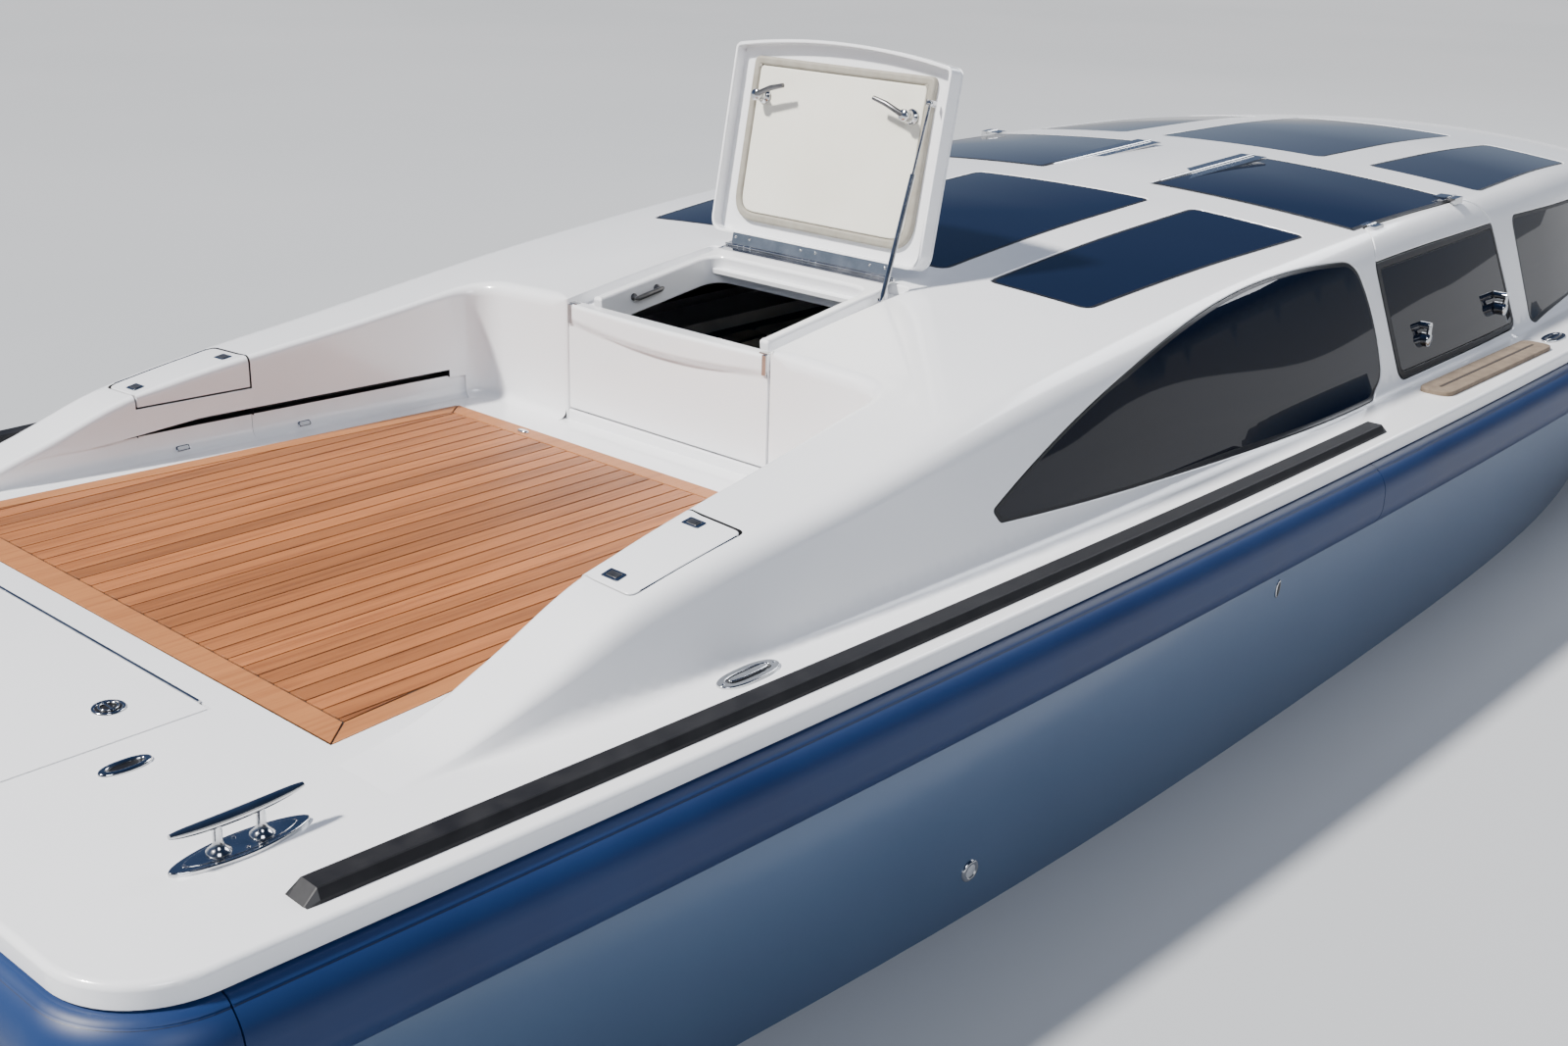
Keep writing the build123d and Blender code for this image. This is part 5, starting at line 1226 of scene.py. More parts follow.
def teak_half(station):
    """Half-breadth of the teak at a station."""
    along = (station - TEAK_AFT) / (TEAK_FORE - TEAK_AFT)
    return TEAK_AFT_HALF + (TEAK_FORE_HALF - TEAK_AFT_HALF) * along


def clipped(outline, a, b):
    """The part of a plane outline to the left of the line from a to b."""
    a, b = np.asarray(a, float), np.asarray(b, float)
    out = []
    side = [(b[0] - a[0]) * (p[1] - a[1]) - (b[1] - a[1]) * (p[0] - a[0]) for p in outline]
    for i in range(len(outline)):
        p, q = np.asarray(outline[i - 1], float), np.asarray(outline[i], float)
        f, g = side[i - 1], side[i]
        if (f > 0) != (g > 0):
            out.append(p + (q - p) * f / (f - g))
        if g > 0:
            out.append(q)
    return np.array(out)


def build_teak():
    """The teak floor: planks with dark seams inside mitred borders, and the small lamp in its fore border."""
    patches = Patches()
    full = tapered(TEAK_AFT, TEAK_FORE, TEAK_AFT_HALF, TEAK_FORE_HALF)
    extruded(patches, DECK_PLANE, full, TEAK_LOW, TEAK_TOP - 0.003, 0.0, look=2)
    aft, fore = TEAK_AFT + AFT_BORDER, TEAK_FORE - FORE_BORDER
    in_aft, in_fore = teak_half(aft) - SIDE_BORDER, teak_half(fore) - SIDE_BORDER
    inner = tapered(aft, fore, in_aft, in_fore)
    half = SEAM / 2
    for i in range(4):
        j = (i + 1) % 4
        piece = np.array((full[i], full[j], inner[j], inner[i]))
        into = loop_normals(piece)
        piece = piece + into * half
        extruded(patches, DECK_PLANE, piece, TEAK_LOW + 0.002, TEAK_TOP, 0.0008, look=1, steps=2)
    field = inner + loop_normals(inner) * half
    reach = int(math.ceil(in_aft / PLANK))
    for k in range(-reach, reach):
        low, high = k * PLANK + half, (k + 1) * PLANK - half
        board = np.array(((aft, low), (fore, low), (fore, high), (aft, high)))
        for i in range(4):
            board = clipped(board, field[i], field[(i + 1) % 4])
            if len(board) < 3:
                break
        if len(board) < 3 or np.ptp(board[:, 0]) < 0.02:
            continue
        extruded(patches, DECK_PLANE, board, TEAK_LOW + 0.002, TEAK_TOP, 0.0007, steps=2)
    patches.make("teak_floor", [TEAK, TEAK_BORDER, CAULK], "root", "teak", "teak_deck")
    lamp = Patches()
    place = on_deck(*LAMP, TEAK_TOP)
    extruded(lamp, place, oval(0.020, 0.040), -0.0005, 0.005, 0.004)
    extruded(lamp, place, oval(0.011, 0.026), 0.004, 0.0062, 0.002, look=1)
    lamp.make("teak_lamp", [STAINLESS, LENS], "root", "stainless")


# Entry: the lid, its rim, the door and their fittings
LID_HINGE, LID_HEIGHT, LID_SLOPE = 2.820, 0.412, 8.116
LID_OPEN = 79.116
LID_START, LID_LENGTH, LID_HALF, LID_DEPTH, LIP = 0.030, 0.545, 0.371, 0.050, 0.030
LID_WALL, LID_FLOOR, SEAL_BOX = 0.009, 0.034, (0.072, 0.518, 0.312)


def lid_frame(angle):
    """Frame on the lid's underside: from the hinge to the lip, to port, and out through the lid."""
    c, s = math.cos(math.radians(angle)), math.sin(math.radians(angle))
    return plane_at((at(LID_HINGE), 0, DECK + LID_HEIGHT), (c, 0, s), (0, 1, 0), (s, 0, -c))


OPEN_LID = lid_frame(LID_OPEN)
CLOSED_LID = lid_frame(180 + LID_SLOPE)


def lid_outline(inset=0.0, radius=(0.045, 0.045, 0.018, 0.018)):
    """Outline of the lid, with its lip bowed out in the middle."""
    near, far, half = LID_START + inset, LID_LENGTH - inset, LID_HALF - inset
    corners = ((near, half), (near, -half), (far, -half), (far, half))
    radius = [max(r - inset, 0.004) for r in radius]
    return rounded_loop(corners, radius, {2: (far + LIP, 0.0)}, step=0.03)


def build_lid():
    """The lid of the entry: a shallow tray with a seal and a cream lining."""
    patches = Patches()
    outer, inner = lid_outline(), lid_outline(LID_WALL)
    extruded(patches, OPEN_LID, outer, 0.0003, LID_DEPTH, 0.010, 0.003, (inner,), caps=(True, False), steps=4)
    extruded(patches, OPEN_LID, lid_outline(0.010), LID_DEPTH - 0.001, LID_DEPTH, 0.0, caps=(False, True))
    extruded(patches, OPEN_LID, lid_outline(0.003), LID_FLOOR, LID_DEPTH - 0.004, 0.0, caps=(True, False))
    aft, fore, half = SEAL_BOX
    seal_out = rounded_loop(((aft, half), (aft, -half), (fore, -half), (fore, half)),
                            (0.075, 0.075, 0.02, 0.02), step=0.03)
    seal_in = seal_out + loop_normals(seal_out) * 0.024
    extruded(patches, OPEN_LID, seal_out, 0.018, LID_FLOOR + 0.002, 0.0, 0.008, (seal_in,), look=1,
             caps=(True, False), steps=4)
    panel = seal_out + loop_normals(seal_out) * 0.025
    extruded(patches, OPEN_LID, panel, 0.021, LID_FLOOR + 0.002, 0.0, 0.004, look=2, caps=(True, False))
    patches.make("entry_lid", [GELCOAT, SEAL_TAN, CREAM], "hatch_lid", "white_gelcoat", "hatch_lid")


LATCH_REACH, LATCH_Y = 0.412, 0.256
KNUCKLES, KNUCKLE_LENGTH, KNUCKLE_RADIUS = (-0.240, 0.0, 0.240), 0.018, 0.0052
KNUCKLE_START, KNUCKLE_STEP, BOLTS_AT = 0.033, 0.024, (-0.026, 0.026)
STRIP_HALF, STRIP_THICKNESS, HINGE_PIN, STRIP_GAP = 0.278, 0.003, 0.004, 0.0003
STAY_PIN, STAY_POST_Y = (0.451, -0.014), -0.3245
# Profiles of turned parts, as radius and height
LATCH = ((0.0, 0.0), (0.021, 0.0), (0.021, 0.004), (0.019, 0.007), (0.013, 0.008), (0.0125, 0.026),
         (0.016, 0.030), (0.016, 0.040), (0.013, 0.044), (0.0, 0.045))
LEVER_RADII = (0.009, 0.0075, 0.0075, 0.006)
BOLT = ((0.0, 0.0018), (0.003, 0.0014), (0.0042, 0.0))


def build_lid_fittings():
    """Lever latches, the hinge's strip and knuckles, and the post of the stay, all on the lid."""
    patches = Patches()
    along, port, out = OPEN_LID[1]
    for sign in (-1, 1):
        foot = plane_at(spread(OPEN_LID, (LATCH_REACH, sign * LATCH_Y, 0.021)), along, port, -out)
        turned(patches, foot, LATCH)
        lever = np.array(((0.0, 0.0, 0.036), (0.008, -0.020 * sign, 0.042), (0.022, -0.055 * sign, 0.046),
                          (0.033, -0.100 * sign, 0.046)))
        tube(patches, spread(foot, lever), LEVER_RADII, look=1)
    strip = rectangle(HINGE_PIN + STRIP_GAP, LID_START + 0.005, -STRIP_HALF, STRIP_HALF, 0.003)
    extruded(patches, OPEN_LID, strip, STRIP_GAP - STRIP_THICKNESS, 0.0, 0.0, 0.0006)
    for y in KNUCKLES:
        for bolt in BOLTS_AT:
            head = spread(OPEN_LID, (LID_START - 0.006, y + bolt, -STRIP_THICKNESS))
            turned(patches, plane_at(head, along, port, -out), BOLT)
        for k in range(3):
            a = y - KNUCKLE_START + k * KNUCKLE_STEP
            tube(patches, spread(OPEN_LID, ((0, a, 0), (0, a + KNUCKLE_LENGTH, 0))), KNUCKLE_RADIUS)
    u, n = STAY_PIN
    post = rectangle(u - 0.008, u + 0.008, STAY_POST_Y - 0.0015, STAY_POST_Y + 0.0015)
    extruded(patches, OPEN_LID, post, n - 0.008, 0.022, 0.0, 0.001)
    tube(patches, spread(OPEN_LID, ((u, STAY_POST_Y, n), (u, -0.3385, n))), 0.0032)
    head = plane_at(spread(OPEN_LID, (u, -0.337, n)), along, out, (0, -1, 0))
    turned(patches, head, ((0.0, 0.004), (0.004, 0.003), (0.0055, 0.0)))
    patches.make("lid_hardware", [STAINLESS, DARK_CHROME], "hatch_lid", "stainless", "lid_fittings")


RIM_OUTER, RIM_INNER = 0.310, 0.280
RIM_FOOT, RIM_TOP, RIM_END = -0.040, -0.006, 0.498
RIM_NEAR, RIM_HOLE = 0.003, 0.075
RIM_SKIRT = -0.085
HANDLE_AT, HANDLE_HEIGHT = (0.300, 0.385), -0.036
HANDLE_MOUNT = ((0.0, 0.0), (0.010, 0.0), (0.010, 0.003), (0.006, 0.005), (0.0055, 0.018), (0.0, 0.018))


def build_rim():
    """Gutter and raised rim round the entry, open towards the door, with the small handle inside it."""
    patches = Patches()
    gutter, seat = ENTRY_HALF - 0.0005, RIM_OUTER - 0.01
    floor = rounded_loop(((RIM_NEAR, gutter), (RIM_NEAR, -gutter), (RIM_END, -gutter), (RIM_END, -seat),
                          (RIM_HOLE + 0.02, -seat), (RIM_HOLE + 0.02, seat), (RIM_END, seat),
                          (RIM_END, gutter)), 0.002, step=0.05)
    extruded(patches, CLOSED_LID, floor, RIM_FOOT - 0.012, RIM_FOOT, 0.001)
    outer, inner, hole = RIM_OUTER, RIM_INNER, 0.060
    rim = rounded_loop(((0.014, outer), (0.014, -outer), (RIM_END, -outer), (RIM_END, -inner),
                        (RIM_HOLE, -inner), (RIM_HOLE, inner), (RIM_END, inner), (RIM_END, outer)),
                       (0.045, 0.045, 0.004, 0.004, hole, hole, 0.004, 0.004), step=0.05, corner_steps=9)
    extruded(patches, CLOSED_LID, rim, RIM_SKIRT, RIM_TOP, 0.009, 0.006, steps=4)
    patches.make("entry_rim", [GELCOAT], "root", "white_gelcoat", "hatch_rim")
    handle = Patches()
    along, _, out = CLOSED_LID[1]
    inner = RIM_INNER - 0.001
    for u in HANDLE_AT:
        mount = plane_at(spread(CLOSED_LID, (u, inner, HANDLE_HEIGHT)), along, out, (0, -1, 0))
        turned(handle, mount, HANDLE_MOUNT)
    low, high = HANDLE_AT
    grip = [(u, inner - drop, HANDLE_HEIGHT) for u, drop in
            ((low - 0.010, 0.016), (low, 0.020), (high, 0.020), (high + 0.010, 0.016))]
    tube(handle, spread(CLOSED_LID, grip), (0.004, 0.007, 0.007, 0.004))
    handle.make("entry_handle", [DARK_CHROME], "root", "black_rubber")


DOOR_FACE, DOOR_DEPTH, DOOR_LOW, DOOR_TOP, DOOR_HALF = 2.281, 0.030, 0.033, 0.318, 0.353
DOOR_ROUND, LEDGE_FOOT, LEDGE_BOW, LEDGE_RAMP, LEDGE_OUT = 0.010, 0.046, 0.022, 0.024, (0.003, 0.017)


def build_entry_door():
    """The entry's door: a flat panel with a soft ledge that swells out along its top."""
    patches = Patches()
    ys = np.linspace(-DOOR_HALF, DOOR_HALF, 57)
    rows = np.concatenate([np.linspace(DOOR_LOW + 0.004, 0.21, 8),
                           np.linspace(0.215, DOOR_TOP - DOOR_ROUND, 24)])
    y, z = np.meshgrid(ys, rows, indexing="ij")
    across = np.clip(1 - (y / DOOR_HALF) ** 2, 0, 1)
    foot = DOOR_TOP - LEDGE_FOOT - LEDGE_BOW * across
    t = np.clip((z - foot + LEDGE_RAMP / 2) / LEDGE_RAMP, 0, 1)
    swell = (LEDGE_OUT[0] + LEDGE_OUT[1] * across) * t * t * (3 - 2 * t)
    face = np.stack([at(DOOR_FACE) - swell, y, DECK + z], axis=-1)
    top = face[:, -1]
    a = math.pi / 2 * np.arange(1, 6) / 5
    turn = np.stack([1 - np.cos(a), np.zeros(5), np.sin(a)], axis=-1)
    fillet = top[:, None] + DOOR_ROUND * turn
    back_x = at(DOOR_FACE + DOOR_DEPTH)
    y, high, low = top[:, 1], fillet[:, -1, 2], DECK + DOOR_LOW
    rest = [np.stack(np.broadcast_arrays(x, y, z), axis=-1) for x, z in
            ((back_x - 0.002, high), (back_x, high - 0.002), (back_x, low), (at(DOOR_FACE) + 0.003, low))]
    shape = np.concatenate([face, fillet, np.stack(rest, axis=1)], axis=1)
    down = np.roll(shape, -1, axis=1) - np.roll(shape, 1, axis=1)
    normals = unit(np.cross(np.gradient(shape, axis=0), down))
    middle = shape.mean(axis=1, keepdims=True)
    if np.sum(normals * (shape - middle)) < 0:
        normals = -normals
    patches.grid(*(np.concatenate([q, q[:, :1]], axis=1) for q in (shape, normals)))
    for k, way in ((0, -1.0), (-1, 1.0)):
        patches.fan(shape[k], (0.0, way, 0.0))
    patches.make("entry_door", [GELCOAT], "companionway_door", "white_gelcoat", "companionway_door")
    catches = Patches()
    for sign in (-1, 1):
        flat = plane_at((at(DOOR_FACE) - 0.003, sign * (DOOR_HALF - 0.008), DECK + 0.290),
                        (0, 1, 0), (0, 0, 1), (-1, 0, 0))
        extruded(catches, flat, rectangle(-0.007, 0.007, -0.024, 0.027, 0.002), -0.004, 0.003, 0.001)
        cap = plane_at((at(DOOR_FACE) + 0.012, sign * (DOOR_HALF - 0.016), DECK + DOOR_TOP))
        extruded(catches, cap, rectangle(-0.012, 0.006, -0.014, 0.014, 0.002), -0.001, 0.0025, 0.001)
    catches.make("entry_catches", [STAINLESS], "companionway_door", "stainless")


LOCKER_SKIN, LID_EDGE = 0.018, 0.003
LATCHES_AT = ((1.547, 0.831), (1.315, 0.852))


def build_locker_lids():
    """Lids over the lockers: the skin's own shape rolled over into the cockpit, with flush latches."""
    for name, sign in SIDES:
        body = "locker_lid_" + name
        patches = Patches()
        plan = coaming_line(LOCKER_AFT, LOCKER_FORE)
        place, points, normals = rolled_wall(patches, plan, COAMING_ROUND, LOCKER_LOW + MOVING_GAP, 0.0, sign)
        back = points - normals * LOCKER_SKIN
        patches.grid(back, -normals)
        patches.flat([points[:, -1], back[:, -1]], -UP)
        for end, toward in ((0, AFTWARD), (-1, -AFTWARD)):
            patches.flat([points[end], back[end]], toward)
        start, end = (LOCKER_FORE, abs(skin_y(place[-1]))), (LOCKER_AFT, abs(skin_y(place[0])))
        around = locker_line(start, end, LOCKER_OUTER)
        around = roof_place(around[:, 0], sign * around[:, 1])
        around[0], around[-1] = place[-1], place[0]
        loop = np.vstack([place[:-1], around[:-1]])
        free = np.arange(len(loop)) >= len(place)
        if sign < 0:
            loop, free = loop[::-1], free[::-1]
        face, rows = rounded_edge(loop, loop_normals(loop), LID_EDGE, LOCKER_SKIN, free[:, None])
        first = np.flatnonzero(free & ~np.roll(free, 1))[0]
        order = (first - 1 + np.arange(int(free.sum()) + 2)) % len(loop)
        patches.rows([(p[order], n[order]) for p, n in rows])
        grid = skin_grid(np.min(loop, axis=0), np.max(loop, axis=0), 0.04)
        skin_face(patches, [face], grid, 0.008)
        skin_face(patches, [loop], grid, 0.012, LOCKER_SKIN, -1)
        patches.make("locker_cover_" + name, [GELCOAT], body, "white_gelcoat", body)
        latches = Patches()
        for station, y in LATCHES_AT:
            spot = roof_place(np.array([station]), np.array([sign * y]))
            p, n, along, _ = (q[0] for q in skin_frame(*spot.T))
            flat = plane_at(p, along, np.cross(n, along), n)
            extruded(latches, flat, plate(0.030, 0.044, 0.004), -0.004, 0.002, 0.0015)
            extruded(latches, flat, plate(0.018, 0.028, 0.003), 0.0015, 0.0032, 0.001, look=1)
        latches.make("locker_latches_" + name, [STAINLESS, DARK_CHROME], body, "stainless")


# Plan of the deck's edge: flat stern, rounded quarter, side arc, bow arc and rounded stem
DECK_AFT, QUARTER, HALF_BEAM, WIDEST, SIDE_ARC = 0.090, 0.170, 1.283, 3.700, 75.0
BOW_START, DECK_TIP, STEM = 6.200, 9.350, 0.260
STERN_STEPS = 24


def arc_run(centre, radius, a, b, step):
    """Points and outward normals of an arc, by angle from a to b."""
    count = max(2, int(math.ceil(abs(b - a) * radius / step)))
    theta = np.linspace(a, b, count + 1)
    n = np.stack([np.cos(theta), np.sin(theta)], axis=-1)
    return np.asarray(centre) + radius * n, n


def deck_edge(step=0.05):
    """Points (station, breadth) and outward normals of the deck's port edge, from the stern to the stem."""
    side_centre = np.array((WIDEST, HALF_BEAM - SIDE_ARC))
    quarter_x = DECK_AFT + QUARTER
    reach = SIDE_ARC - QUARTER
    quarter_y = side_centre[1] + math.sqrt(reach ** 2 - (quarter_x - WIDEST) ** 2)
    touch = math.atan2(quarter_y - side_centre[1], quarter_x - WIDEST)
    slope = (BOW_START - WIDEST) / SIDE_ARC
    straight = math.sqrt(1 - slope ** 2)
    start = np.array((BOW_START, side_centre[1] + SIDE_ARC * straight))
    run = DECK_TIP - BOW_START
    bow = (run ** 2 + start[1] ** 2) / (2 * (start[1] * straight - run * slope))
    bow_centre = start - bow * np.array((slope, straight))
    stem_x = bow_centre[0] + math.sqrt((bow - STEM) ** 2 - bow_centre[1] ** 2)
    meet = math.atan2(-bow_centre[1], stem_x - bow_centre[0])
    begin = math.atan2(straight, slope)
    ys = np.linspace(0, quarter_y, STERN_STEPS)
    parts = [
        (np.column_stack([np.full_like(ys, DECK_AFT), ys]), np.tile((-1.0, 0.0), (len(ys), 1))),
        arc_run((quarter_x, quarter_y), QUARTER, math.pi, touch, 0.02),
        arc_run(side_centre, SIDE_ARC, touch, begin, step),
        arc_run(bow_centre, bow, begin, meet, step),
        arc_run((stem_x, 0.0), STEM, meet, 0.0, 0.02),
    ]
    points = np.vstack([p[1:] if i else p for i, (p, _) in enumerate(parts)])
    normals = np.vstack([n[1:] if i else n for i, (_, n) in enumerate(parts)])
    for cut in (STERN_SEAM, STERN_SEAM + SEAM_WIDTH, SIDE_SEAM, SIDE_SEAM + SEAM_WIDTH):
        k = np.flatnonzero(points[:, 0] > cut)[0]
        t = (cut - points[k - 1, 0]) / (points[k, 0] - points[k - 1, 0])
        spot = points[k - 1] * (1 - t) + points[k] * t
        points = np.insert(points, k, spot, axis=0)
        normals = np.insert(normals, k, unit(normals[k - 1] * (1 - t) + normals[k] * t), axis=0)
    return points, normals


COLLAR_TOP, COLLAR_LOW, COLLAR_PROUD, COLLAR_ROUND, COLLAR_INNER = 0.7195, 0.530, 0.050, 0.078, -0.035
# Flange and dark line of the collar: the angles where each starts and ends, and how far it stands out
BEAD, JOINT = (24.0, 37.0, 0.0022), (38.6, 40.0, 0.0004)
STERN_SEAM, SIDE_SEAM, SEAM_WIDTH, NEAR = 0.255, 3.660, 0.003, 1e-6


def swept(patches, points, normals, sign, profile, look=0):
    """Surface from a profile carried along the deck's edge.

    Each row of the profile is a distance out, a height and the angle from up that it faces."""
    rows = []
    for out, z, angle in profile:
        a = math.radians(angle)
        facing_out = np.column_stack([normals * (1, sign) * math.sin(a), np.full(len(normals), math.cos(a))])
        rows.append((side_points(points + normals * out, sign, z), facing_out))
    patches.rows(rows, look)


def collar_row(angle, middle, rise=0.0):
    """Distance out and height of a place on the collar's rounding about a middle height."""
    a = math.radians(angle)
    radius = COLLAR_ROUND + rise
    return COLLAR_PROUD - COLLAR_ROUND + radius * math.sin(a), middle + radius * math.cos(a)


def collar_stretch(patches, points, normals, sign, ends):
    """One length of the collar, with its flange and dark line, closed at its ends."""
    high, low = COLLAR_TOP - COLLAR_ROUND, COLLAR_LOW + COLLAR_ROUND
    profile = [
        (COLLAR_INNER, COLLAR_TOP, 0),
        *((*collar_row(angle, high), angle) for angle in range(0, 91, 9)),
        *((*collar_row(angle, low), angle) for angle in range(90, 181, 9)),
        (COLLAR_INNER, COLLAR_LOW, 180),
    ]
    swept(patches, points, normals, sign, profile)
    for (start, end, lift), look in ((BEAD, 0), (JOINT, 1)):
        middle = (start + end) / 2
        steps = ((start, -0.001), (start + 0.8, lift), (end - 0.8, lift), (end, -0.001))
        rows = [(*collar_row(angle, high, rise), middle + (angle - middle) * 2.2) for angle, rise in steps]
        swept(patches, points, normals, sign, rows, look)
    for k, way in ends:
        along = np.array((normals[k, 1], -normals[k, 0] * sign, 0.0)) * way
        rim = np.vstack([side_points((points[k] + normals[k] * out)[None], sign, z) for out, z, _ in profile])
        patches.fan(rim, along)


def build_collar():
    """The rubbing collar round the deck's edge, in the lengths that its seams leave."""
    points, normals = deck_edge(0.04)
    stern = Patches()
    on = points[:, 0] <= STERN_SEAM + NEAR
    for _, sign in SIDES:
        collar_stretch(stern, points[on], normals[on], sign, ((-1, 1.0),))
    stern.make("stern_collar", [NAVY, BLACK_TRIM_AND_SHADE], "root", "collar_navy", "collar_stern")
    stretches = (("aft", STERN_SEAM + SEAM_WIDTH, SIDE_SEAM, ((0, -1.0), (-1, 1.0))),
                 ("fore", SIDE_SEAM + SEAM_WIDTH, DECK_TIP, ((0, -1.0),)))
    for name, sign in SIDES:
        for place, low, high, ends in stretches:
            on = (points[:, 0] >= low - NEAR) & (points[:, 0] <= high + NEAR)
            patches = Patches()
            p, n = points[on], normals[on]
            if place == "fore":
                p[-1, 1] = 0.0
            collar_stretch(patches, p, n, sign, ends)
            patches.make("%s_collar_%s" % (place, name), [NAVY, BLACK_TRIM_AND_SHADE], "root", "collar_navy",
                         "collar_%s_%s" % (place, name))


RUB_AFT, RUB_FORE, RUB_OUTER, RUB_INNER, RUB_HEIGHT, RUB_RAMP = 0.412, 3.830, 0.038, 0.098, 0.024, 0.024
# Section of a strip: shares of its half-width and of its height
RUB_SHAPE = ((-1.0, -0.02), (-0.97, 0.25), (-0.74, 0.93), (-0.66, 1.0),
             (0.66, 1.0), (0.74, 0.93), (0.97, 0.25), (1.0, -0.02))


def upward(normal):
    """A direction of length one, turned to point up."""
    normal = unit(normal)
    return normal if normal[2] >= 0 else -normal


def build_rub_strips():
    """Black strips along the side decks: a flat top with sloping sides, and sloping ends."""
    patches = Patches()
    stations = np.unique(np.concatenate([[RUB_AFT, RUB_AFT + RUB_RAMP, RUB_FORE - RUB_RAMP, RUB_FORE],
                                         np.arange(RUB_AFT + 0.06, RUB_FORE - 0.05, 0.07)]))
    half = HALF_BEAM - SIDE_ARC + np.sqrt(SIDE_ARC ** 2 - (stations - WIDEST) ** 2)
    lean = (stations - WIDEST) / SIDE_ARC
    n = np.stack([lean, np.sqrt(1 - lean ** 2)], axis=-1)
    edge = np.stack([stations, half], axis=-1)
    rise = np.clip(np.minimum(stations - RUB_AFT, RUB_FORE - stations) / RUB_RAMP, 0, 1)
    middle, wide = (RUB_OUTER + RUB_INNER) / 2, (RUB_INNER - RUB_OUTER) / 2
    for _, sign in SIDES:
        rows = []
        for across, up in RUB_SHAPE:
            height = DECK + RUB_HEIGHT * np.minimum(up, rise * 1.02 - 0.02)
            rows.append(side_points(edge - n * (middle + wide * across), sign, height))
        for a, b in zip(rows, rows[1:]):
            for span, look in ((slice(0, 2), 1), (slice(1, -1), 0), (slice(-2, None), 1)):
                p, q = a[span], b[span]
                normal = np.cross(p[1] - q[0], q[1] - p[0]) if look else np.cross(a[5] - a[4], b[4] - a[4])
                patches.flat([p, q], upward(normal), look)
    patches.make("side_deck_strips", [RUBBER, STRIP_END], "root", "black_rubber", "rub_strips")


# Tread pads: aft and fore end, inner and outer breadth, and height
STEP_PAD = (4.290, 5.118, 1.124, 1.224, 0.014)


def build_step_pads():
    """Tread pads on the side decks, with a dark groove along the middle."""
    patches = Patches()
    aft, fore, inner, outer, height = STEP_PAD
    for _, sign in SIDES:
        right, left = sorted((sign * inner, sign * outer))
        middle = (right + left) / 2
        extruded(patches, DECK_PLANE, rectangle(aft, fore, right, left, 0.040), -0.001, height, 0.004)
        groove = rectangle(aft + 0.05, fore - 0.05, middle - 0.005, middle + 0.005, 0.004)
        extruded(patches, DECK_PLANE, groove, height - 0.002, height + 0.0006, 0.0004, look=1)
    patches.make("side_deck_treads", [TREAD, CAULK], "root", "step_tread", "step_pads")


CLEAT_AT, CLEAT_LENGTH, CLEAT_WIDTH = (0.446, 0.955), 0.244, 0.070
CLEAT_BAR_Z, CLEAT_BAR_HALF, CLEAT_POSTS = 0.062, 0.115, (-0.0375, 0.0375)
CLEAT_POST = ((0.020, 0.0), (0.0195, 0.003), (0.013, 0.007), (0.0088, 0.013), (0.0075, 0.022),
              (0.0075, 0.040), (0.010, 0.050))
CLEAT_SCREWS = ((-0.095, 0.0, 0.0074), (0.095, 0.0, 0.0074), (0.0, 0.020, 0.0085), (0.0, -0.020, 0.0085))
# Flush cleats on the port side: station, breadth and turn in degrees
POPUPS = ((1.442, 1.080, 1.0), (5.263, 1.170, 2.0), (8.150, 0.430, 27.0))
# Leads: station, breadth, length and width
FAIRLEAD = (0.455, 0.600, 0.096, 0.042)


def screw_head(patches, plane, where, size=0.0042):
    """Round screw head on a fitting."""
    profile = ((0.0, 0.0016), (0.6 * size, 0.0014), (size, 0.0))
    turned(patches, plane_at(spread(plane, where), *plane[1]), profile, sides=12)


def build_cleats():
    """Stern cleats: pointed oval bases with two posts and a long tapering bar."""
    patches = Patches()
    base = oval(CLEAT_LENGTH, CLEAT_WIDTH, 48, 1.75)
    run = np.linspace(-1, 1, 25)
    bar = np.column_stack([run * CLEAT_BAR_HALF, np.zeros_like(run), CLEAT_BAR_Z - 0.004 + 0.006 * run ** 2])
    radius = 0.0105 * np.sqrt(np.clip(1 - (0.94 * run) ** 8, 0, 1)) * (1 - 0.38 * run ** 2)
    for _, sign in SIDES:
        place = on_deck(CLEAT_AT[0], sign * CLEAT_AT[1])
        extruded(patches, place, base, -0.001, 0.0075, 0.003, steps=4)
        extruded(patches, place, base * 0.80, 0.0070, 0.0088, 0.0015)
        for shift in CLEAT_POSTS:
            turned(patches, plane_at(spread(place, (shift, 0, 0.0085))), CLEAT_POST, sides=24)
        for where in CLEAT_SCREWS:
            screw_head(patches, place, where)
        tube(patches, spread(place, bar), np.maximum(radius, 0.002), sides=16)
    patches.make("stern_mooring_cleats", [STAINLESS], "root", "stainless", "stern_cleats")


def build_popup_cleats():
    """Flush cleats in oval plates, with a recess whose floor is painted near-black as shade, and a bar that
    lifts.
    """
    patches = Patches()
    outline, recess = oval(0.160, 0.058, 44, 2.4), oval(0.118, 0.030, 36, 2.8)
    bar = oval(0.106, 0.017, 32, 3.2)
    well = recess + loop_normals(recess) * -0.001
    for _, sign in SIDES:
        for station, y, yaw in POPUPS:
            a = math.radians(-yaw * sign)
            u, v = (math.cos(a), math.sin(a), 0), (-math.sin(a), math.cos(a), 0)
            place = on_deck(station, sign * y, 0.0, u, v)
            extruded(patches, place, outline, -0.001, 0.0055, 0.0025, holes=(recess,))
            # A near-black disc in the recess is painted shade
            extruded(patches, place, well, -0.001, 0.0012, 0.0, look=1, caps=(False, True))
            extruded(patches, place, bar, 0.0010, 0.0075, 0.003)
            for shift in (-0.070, 0.070):
                screw_head(patches, place, (shift, 0, 0.0052), 0.0036)
    patches.make("flush_deck_cleats", [STAINLESS, BLACK_TRIM_AND_SHADE], "root", "stainless", "popup_cleats")


